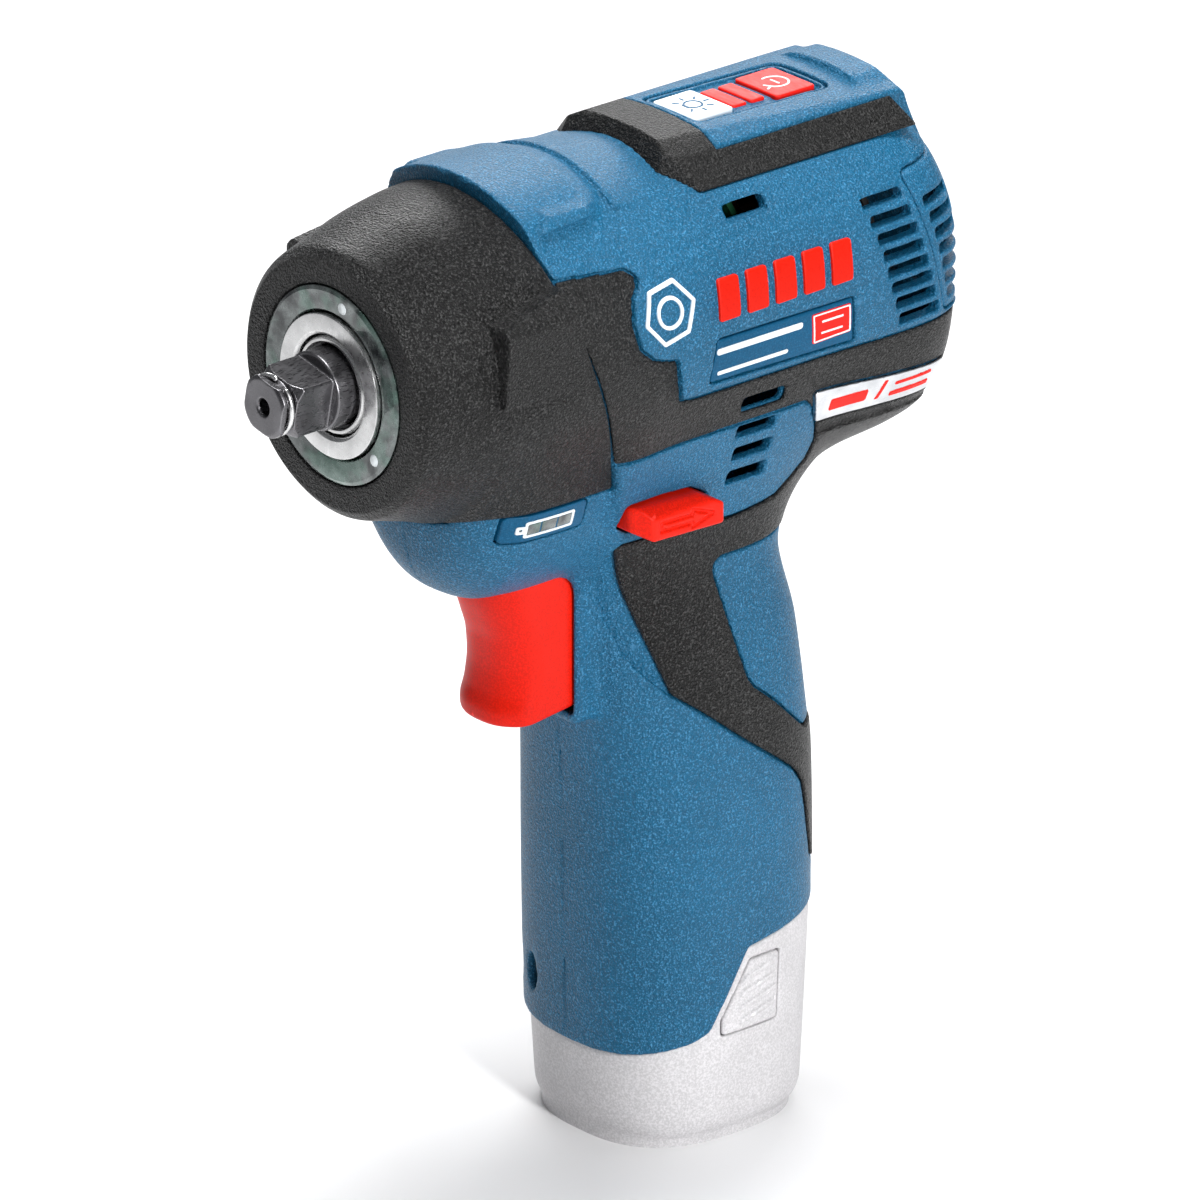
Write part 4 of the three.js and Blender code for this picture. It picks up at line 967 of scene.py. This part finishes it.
def make_anvil():
    g = Grid((-8, 8), (-90, -74), (AXIS - 8, AXIS + 8), 0.12)
    au, av = (np.abs(w) for w in turned(g.x, g.z - AXIS, math.radians(-DRIVE_TURN)))
    square = both(0.12, au - DRIVE / 2, av - DRIVE / 2, (au + av - 9.2) / 1.4142)
    profile = [(4.9, ANVIL_TIP), (5.45, -88.9), (5.55, -88.2), (4.3, -88.0), (4.3, -86.3),
               (5.3, -86.1), (6.55, -84.9), (6.6, -79.9), (6.9, -78.4), (7.0, -74)]
    round_off = (g.r - radius_at(profile, g.y)) * 0.8
    drive = both(0.12, square, round_off, g.y + 78.2)
    neck = both(0.2, g.r - 4.4, g.y + 84.4, -89.0 - g.y)
    shoulder = both(0.4, g.r - 7.05, -78.6 - g.y, round_off)
    body = np.minimum(smin(drive, shoulder, 0.3), neck)
    body = smax(body, ANVIL_TIP - g.y, 0.2)
    dimple = np.maximum(g.r - 1.4 - 0.5 * np.clip(-88.7 - g.y, 0, 1), g.y + 86.6)
    body = smax(body, -dimple, 0.25)
    body = smax(body, g.y + 74.6, 0.2)
    make("anvil_drive", g, body, GUN, "tool_steel", "anvil", "anvil", smooth=0.002)
    shaft = [(6.55, -74.8), (6.55, -57.8), (9.5, -57.8), (9.5, -50), (3.4, -50), (3.4, -74.8)]
    make_ring("anvil_shaft", shaft, 0.3, GUN, "tool_steel", "anvil")
    for i, centre in enumerate((18, 198)):
        make_dog(f"anvil_dog_{i + 1}", centre + DRIVE_TURN)


def make_dog(name, centre):
    """One driving dog of the anvil: a ring sector with rounded edges."""
    g = Grid((-21, 21), (-56, -49), (AXIS - 21, AXIS + 21), 0.35)
    u, v = turned(g.x, g.z - AXIS, math.radians(centre))
    half = math.radians(18)
    wedge = np.abs(v) * math.cos(half) - u * math.sin(half)
    body = both(0.5, wedge, g.r - 19.6, 8.5 - g.r, -55.2 - g.y, g.y + 50.0)
    make(name, g, body, GUN, "tool_steel", "anvil")


def make_spring_ring():
    """The split ring in the groove of the square drive: n wire sections of m points."""
    n, m = 96, 12
    radius, wire, y = 4.95, 0.5, -87.15
    gap, turn = math.radians(26), math.radians(62)
    start, sweep = turn + gap / 2, 2 * math.pi - gap
    pts = []
    for i in range(n):
        a = start + sweep * i / (n - 1)
        shrink = 0.5 if i in (0, n - 1) else 1.0
        for j in range(m):
            b = 2 * math.pi * j / m
            r = radius + wire * shrink * math.cos(b)
            pts.append((r * math.cos(a), y + wire * shrink * math.sin(b),
                        AXIS + r * math.sin(a)))
    quads = [(i * m + j, i * m + (j + 1) % m, (i + 1) * m + (j + 1) % m, (i + 1) * m + j)
             for i in range(n - 1) for j in range(m)]
    ends = [list(range(m))[::-1], list(range((n - 1) * m, n * m))]
    pts = np.array(pts)
    obj = build_mesh("anvil_spring_ring", pts, outward(pts, [np.array(quads), np.array(ends)]))
    place(obj, BRIGHT, "bright_steel", "anvil", "socket_ring")


# ---- roof and rear cover
def make_roof():
    g = Grid((0, 22), (-24, 46), (168, 186), 0.27)
    body = head_and_handle(g)
    roof = roof_field(g)
    under = -(body + 0.6)
    frame_part = both(0.22, roof, under, GAP - panel_zone(g),
                      (g.y - 37.9) * 0.9 + (g.z - 178.0) * 0.42, 175.2 - g.z)
    make("roof_frame", g, frame_part, BLACK_ROOF, "soft_black", "housing", "roof_frame",
         mirror=True)
    ax = np.abs(g.x)
    crown = g.z - 182.7 + 0.010 * g.x**2
    bump = both(0.22, crown, (-3.0 * (g.y - 33.3) + 2.0 * (roof_top(g) + 0.2)) / 3.6,
                (2.6 * (ax - 7.2) + 5.4 * (g.z - 182.3)) / 5.99,
                (g.y - 40.4) * 0.95 + (g.z - 181.0) * 0.3, ax - 13.8)
    panel = both(0.35, smin(roof, bump, 0.3), panel_zone(g) + GAP, under)
    pad = rounded_box(g.x, g.y, (-7.6, 7.6, -0.6, 30.0), 2.2)
    keypad = both(0.2, pad, -1.0 - roof_top(g))
    panel = smax(panel, -keypad, 0.25)
    rim = both(0.2, np.abs(pad + 0.8) - 0.3, roof_top(g) + 0.35, -2 - roof_top(g))
    panel = smin(panel, rim, 0.2)
    for y0, y1 in KEYS:
        hole = rounded_box(g.x, g.y, (-KEY_HALF - GAP, KEY_HALF + GAP, y0 - GAP, y1 + GAP),
                           0.9)
        panel = smax(panel, -both(0.1, hole, 178.2 - g.z), 0.15)
    make("roof_panel", g, panel, BLUE, "blue_plastic", "housing", "roof_panel", mirror=True)


def make_rear_cover():
    g = Grid((0, 31), (26, 48), (140, 174), 0.35)
    body = head_and_handle(g)
    cover = both(0.5, body, rear_zone(g) + GAP, -(body + WALL))
    for dy, z, length in REAR_SLOTS:
        y0 = rear_seam_y(z) + dy
        cover = smax(cover, -side_slot(g, y0, y0 + length, z, z + 1.8), 0.4)
    make("rear_cover", g, cover, BLUE, "blue_plastic", "housing", "rear_cover", mirror=True)


# ---- controls
def make_trigger():
    g = Grid((0, 10), (-52, -18), (79, 112), 0.22)
    front = curve_through([(79, -42.2), (81.5, -43.1), (84.5, -43.2), (88, -42.2),
                           (92.5, -41.6), (97, -41.9), (101, -43.1), (105, -44.4),
                           (110, -45.4)], g.z)[0]
    belly = 4.4 * (np.abs(g.x) / 9.0)**2.6
    face = (front + belly - g.y) * 0.93
    bottom = (82.5 + 0.12 * (g.y + 40)) - g.z
    body = both(1.5, face, g.x - 9.0, bottom)
    body = both(0.6, body, g.z - 109.4, g.y + 21)
    make("trigger_blade", g, body, RED, "red_plastic", "trigger", "trigger", mirror=True)


def make_selector():
    g = Grid((0, 27), (-30, -8), (114, 127), 0.25)
    outline = side(g, SELECTOR, 0.7)
    bar = both(0.5, outline, g.x - 25.7,
               (3.0 * (g.x - 25.6) - 4.0 * (g.y + 26)) / 5.0,
               (2.7 * (g.x - 25.6) + 3.6 * (g.z - 122.7)) / 4.5)
    arrow = np.minimum(
        side(g, [(-24.0, 121.4), (-16.0, 121.1), (-16.0, 119.7), (-24.0, 120.0)]),
        side(g, [(-17.0, 122.0), (-12.4, 120.3), (-17.0, 118.9)]))
    bar = smax(bar, -np.maximum(np.abs(arrow) - 0.28, 25.3 - g.x), 0.15)
    waist = both(0.4, g.x - 16.5, outline + 1.0)
    outer = np.minimum(np.maximum(bar, 14.5 - g.x), waist)
    make("direction_bar", g, outer, RED, "red_plastic", "direction_selector",
         "direction_selector", mirror=True)


# ---- keypad
def make_key(name, half, y, z0, z1, radius, material, slot, body, node):
    """A rounded rectangle with soft edges, from height z0 to z1."""
    m = 0.5
    g = Grid((-half - m, half + m), (y[0] - m, y[1] + m), (z0 - m, z1 + m), 0.15)
    flat = rounded_box(g.x, g.y, (-half, half, *y), radius)
    make(name, g, both(0.3, flat, g.z - z1, z0 - g.z), material, slot, body, node)


def make_icon(name, y, z, lines, width, low, high, material, slot, body):
    """Printed lines as thin raised ribs: each line is a list of points (x, y)."""
    g = Grid((-4.5, 4.5), y, z, 0.1)
    best = union(*[segment(g.x, g.y, p, q) for line in lines
                   for p, q in zip(line, line[1:])])
    rib = both(0.06, np.sqrt(best) - width / 2, g.z - high, low - g.z)
    make(name, g, rib, material, slot, body)


def circle_line(u, v, r, n=20, a0=0.0, a1=2 * math.pi):
    return [(u + r * math.cos(a0 + (a1 - a0) * i / n), v + r * math.sin(a0 + (a1 - a0) * i / n))
            for i in range(n + 1)]


def make_keypad():
    make_key("light_key", KEY_HALF, KEYS[0], 179.4, 181.95, 0.8, WHITE, "white_plastic",
             "light_button", "light_button")
    rays = [[(2.5 * math.cos(a), 5.2 + 2.5 * math.sin(a)),
             (3.4 * math.cos(a), 5.2 + 3.4 * math.sin(a))]
            for a in (math.radians(k) for k in (0, 45, 90, 135, 180, 225, 315))]
    lamp = [circle_line(0, 5.2, 1.6), [(-0.7, 3.5), (0.7, 3.5)]]
    make_icon("light_key_icon", (1.4, 9.2), (181.7, 182.4), rays + lamp, 0.4, 181.8, 182.06,
              PLATE_BLUE, "blue_plastic", "light_button")
    make_key("mode_key", KEY_HALF, KEYS[1], 179.2, 181.45, 0.8, RED_GLOSS, "red_plastic",
             "mode_button", "mode_button")
    turn = [circle_line(0, 23.6, 2.4, 18, math.radians(-60), math.radians(200)),
            [(0.2, 21.0), (1.3, 21.6), (1.9, 20.4)], [(-1.0, 23.6), (1.0, 23.6)]]
    make_icon("mode_key_icon", (19.6, 27.6), (181.2, 181.9), turn, 0.42, 181.3, 181.54,
              WHITE, "white_plastic", "mode_button")
    for i, y in enumerate(((10.4, 13.6), (14.4, 17.6))):
        make_key(f"speed_lamp_{i + 1}_window", 4.4, y, 179.6, 181.55, 0.5, RED_GLOSS,
                 "red_plastic", "housing", f"speed_lamp_{i + 1}")


# ---- side marks
def layer(k, outline, body, high, deep):
    """What an outline covers, from deep under the skin of the body to high above it."""
    return both(k, outline, body - high, -(body + deep))


def on_side(name, x_low, y, z, step, outline, levels, material, slot, *nodes):
    """Makes a left piece and its mirror image; levels are k, high and deep of its layer."""
    g = Grid((x_low, 31), y, z, step)
    k, high, deep = levels
    f = layer(k, outline(g), head_and_handle(g), high, deep)
    make_pair(name, g, f, material, slot, "housing", *nodes)


def mark_bars(g):
    """Five slanted blocks in a row, standing proud of the side panel."""
    return union(*[side(g, [(y, 156.3), (y + 4.6, 156.4), (y + 4.9, 163.6),
                            (y + 0.3, 163.6)], 0.6)
                   for y in (-14.4 + i * 6.3 for i in range(5))])


def emblem(g):
    """A plain hexagonal nut outline."""
    y0, z0, r = EMBLEM
    corners = [(y0 + r * math.cos(k * math.pi / 3 + 0.2),
                z0 + r * math.sin(k * math.pi / 3 + 0.2)) for k in range(6)]
    nut, hole = side(g, corners, 0.6), from_line(g, y0, z0)
    return np.minimum(np.abs(nut + 0.5) - 0.36, np.abs(hole - 2.5) - 0.33)


def plate(g):
    return side(g, PLATE, 0.7) + GAP


def badge(g):
    return side(g, BADGE, 0.7) + GAP


def tag(g):
    return side(g, TAG, 0.5)


def tag_border(g):
    rows = np.minimum(slab(g.z, 148.0, 148.4), slab(g.z, 150.1, 150.5))
    return np.minimum(np.abs(tag(g) + 0.35) - 0.16, np.maximum(rows, slab(g.y, 8.8, 13.6)))


def plate_rules(g):
    return union(rounded_box(g.y, g.z, (-14.6, 4.6, 150.2, 151.4), 0.5),
                 rounded_box(g.y, g.z, (-14.2, 1.6, 146.4, 147.2), 0.35))


def badge_print(g):
    """A slash between plain rules."""
    return union(side(g, [(24.6, 130.6), (25.4, 130.6), (26.6, 134.2), (25.8, 134.2)]),
                 rounded_box(g.y, g.z, (14.6, 22.6, 131.0, 133.4), 0.5),
                 rounded_box(g.y, g.z, (28.4, 37.0, 132.6, 133.3), 0.3),
                 rounded_box(g.y, g.z, (27.8, 36.8, 130.4, 131.4), 0.3))


def make_marks():
    white, red = (WHITE, "white_plastic"), (RED_GLOSS, "red_plastic")
    on_side("mark_bars", 20, (-18, 20), (154, 166), 0.2, mark_bars, (0.3, 0.95, 0.2), RED,
            "red_plastic")
    on_side("nut_emblem", 20, (-33, -17), (152, 169), 0.16, emblem, (0.2, 0.75, 0.2),
            *white, "emblem")
    on_side("blank_plate", 20, (-20, 19), (142, 157), 0.25, plate, (0.25, 0.1, 0.85),
            PLATE_BLUE, "blue_plastic", "name_plate")
    on_side("plate_tag", 24, (5, 17), (144, 155), 0.16, tag, (0.15, 0.25, 0.2), *red)
    on_side("plate_tag_border", 25, (5, 17), (144, 155), 0.11, tag_border,
            (0.06, 0.36, 0.1), *white)
    on_side("plate_rules", 25, (-17, 7), (144, 154), 0.14, plate_rules, (0.06, 0.22, 0.2),
            *white)
    on_side("motor_badge", 10, (5, 44), (126, 141), 0.25, badge, (0.2, 0.12, 0.95), SILVER,
            "silver_badge", "motor_badge")
    on_side("motor_badge_print", 12, (9, 40), (129, 139), 0.14, badge_print,
            (0.06, 0.24, 0.1), *red)


def window_field(g):
    return np.minimum(block_field(g), head_and_handle(g))


def make_window():
    """The charge window beside the block: a plain battery outline over three lamps."""
    g = Grid((12, 27), (-56, -34), (120, 131), 0.2)
    pane = layer(0.2, rounded_box(g.y, g.z, WINDOW, 1.0) + GAP, window_field(g), 0.02, 1.1)
    make("charge_window_pane", g, pane, PLATE_BLUE, "lens", "housing", "charge_window")
    g = Grid((14, 26), (-53, -38), (122.5, 128.5), 0.12)
    body = window_field(g)
    whole = union(rounded_box(g.y, g.z, (-49.9, -39.7, 124.0, 127.2), 0.4),
                  rounded_box(g.y, g.z, (-51.3, -49.8, 124.9, 126.4), 0.3))
    rim = layer(0.06, np.abs(whole + 0.25) - 0.25, body, 0.2, 0.2)
    make("charge_symbol", g, rim, WHITE, "white_plastic", "housing")
    glass = layer(0.06, whole + 0.55, body, 0.1, 0.2)
    for y in (-46.6, -43.2):
        glass = smax(glass, 0.12 - np.abs(g.y - y), 0.05)
    make("charge_lamps", g, glass, LENS, "lens", "housing")


# ---- screws
def make_screws():
    for i, (y, z) in enumerate(SCREWS):
        probe = Grid((4, 31), (y - 0.8, y + 0.8), (z - 0.8, z + 0.8), 0.4)
        line = head_and_handle(probe)[:, 2, 2]
        hit = int(np.argmax(line > 0))
        x = float(probe.x[hit, 0, 0]) - SCREW_DEPTH
        g = Grid((x - 2.5, x + 2.5), (y - 3.4, y + 3.4), (z - 3.4, z + 3.4), 0.16)
        rho = from_line(g, y, z)
        head = both(0.4, rho - 2.9, g.x - x - 0.9 + 0.05 * rho**2, x - 2 - g.x)
        angle = np.arctan2(g.z - z, g.y - y)
        lobe = rho - 1.15 - 0.28 * np.cos(6 * angle)
        head = smax(head, -np.maximum(lobe, x - 0.9 - g.x), 0.15)
        make(f"housing_screw_{i + 1}", g, head, SCREW, "bright_steel", "housing", flip=True)


# ---- battery pack
def pack_field(g):
    """The pack continues the handle, set in a little and tapering to its base."""
    inset = 0.4 + 0.035 * (36 - np.clip(g.z, 0, 36))
    return true_distance(handle_field(g), g.step) + inset


def make_pack():
    g = Grid((0, 23.2), (-24, 24), (-0.8, 76), 0.4)
    outer = pack_field(g)
    below = [(-80, -10)] + RIM[:6] + [(80, -10)]
    cup = both(0.6, smax(outer, -g.z, 5.0), side(g, below, 0.8) + GAP)
    around = section(g.x, g.y, 19.2, np.where(g.y < 0, 20.7, 19.2), HANDLE_EXPONENT)
    stem = both(0.8, around, g.z - 68.2)
    body = smin(cup, stem, 0.4)
    for x, y in ((9, 6), (0, -9.6)):
        bore = np.maximum(np.sqrt((g.x - x)**2 + (g.y - y)**2) - 9.2, slab(g.z, 2.3, 67.9))
        body = np.maximum(body, -bore)
    latch = np.maximum(side(g, LATCH, 1.0) - GAP, 18.8 - g.x)
    body = smax(body, -latch, 0.3)
    make("pack_body", g, body, GREY, "grey_plastic", "battery_pack", "pack_shell",
         mirror=True)
    g = Grid((19, 24), (-8, 8), (18, 35), 0.25)
    outer, latch = pack_field(g), side(g, LATCH, 1.0)
    key = both(0.5, outer - 0.1, latch + GAP, 20.2 - g.x)
    for z in (22.4, 25.0, 27.6, 30.2):
        tilt = (g.z - z - 0.25 * g.y) * 0.97
        rib = both(0.3, np.abs(tilt) - 0.5, np.abs(g.y - 1.6) - 4.0, outer - 0.55, 20.4 - g.x)
        key = smin(key, np.maximum(rib, latch + 0.5), 0.3)
    make_pair("release_key", g, key, GREY, "grey_plastic", "release_{}", "release_button")


# ---- CAD nodes that stay
SHOWN_NODES = {
    "lamp_board hall_board control_board": BOARD,
    "hammer hammer_spring spindle planet_gear_1 planet_gear_2 planet_gear_3": STEEL,
    "ring_gear rotor_shaft trigger_spring": STEEL,
    "cam_ball_1 cam_ball_2 front_bearing rear_bearing": BRIGHT,
    "rotor_core stator_core": LAMINATE,
    "fan switch_body terminal_block pack_cap": DARK,
    "motor_plate": CAST,
    "stator_windings": COPPER,
    "cell_1 cell_2 cell_3": CELL,
}


def dress_nodes():
    for names, material in SHOWN_NODES.items():
        for name in names.split():
            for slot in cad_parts[name].material_slots:
                slot.material = material


make_housing()
make_soft()
make_boot()
make_case()
make_anvil()
make_spring_ring()
make_roof()
make_rear_cover()
make_trigger()
make_selector()
make_keypad()
make_marks()
make_window()
make_screws()
make_pack()
dress_nodes()
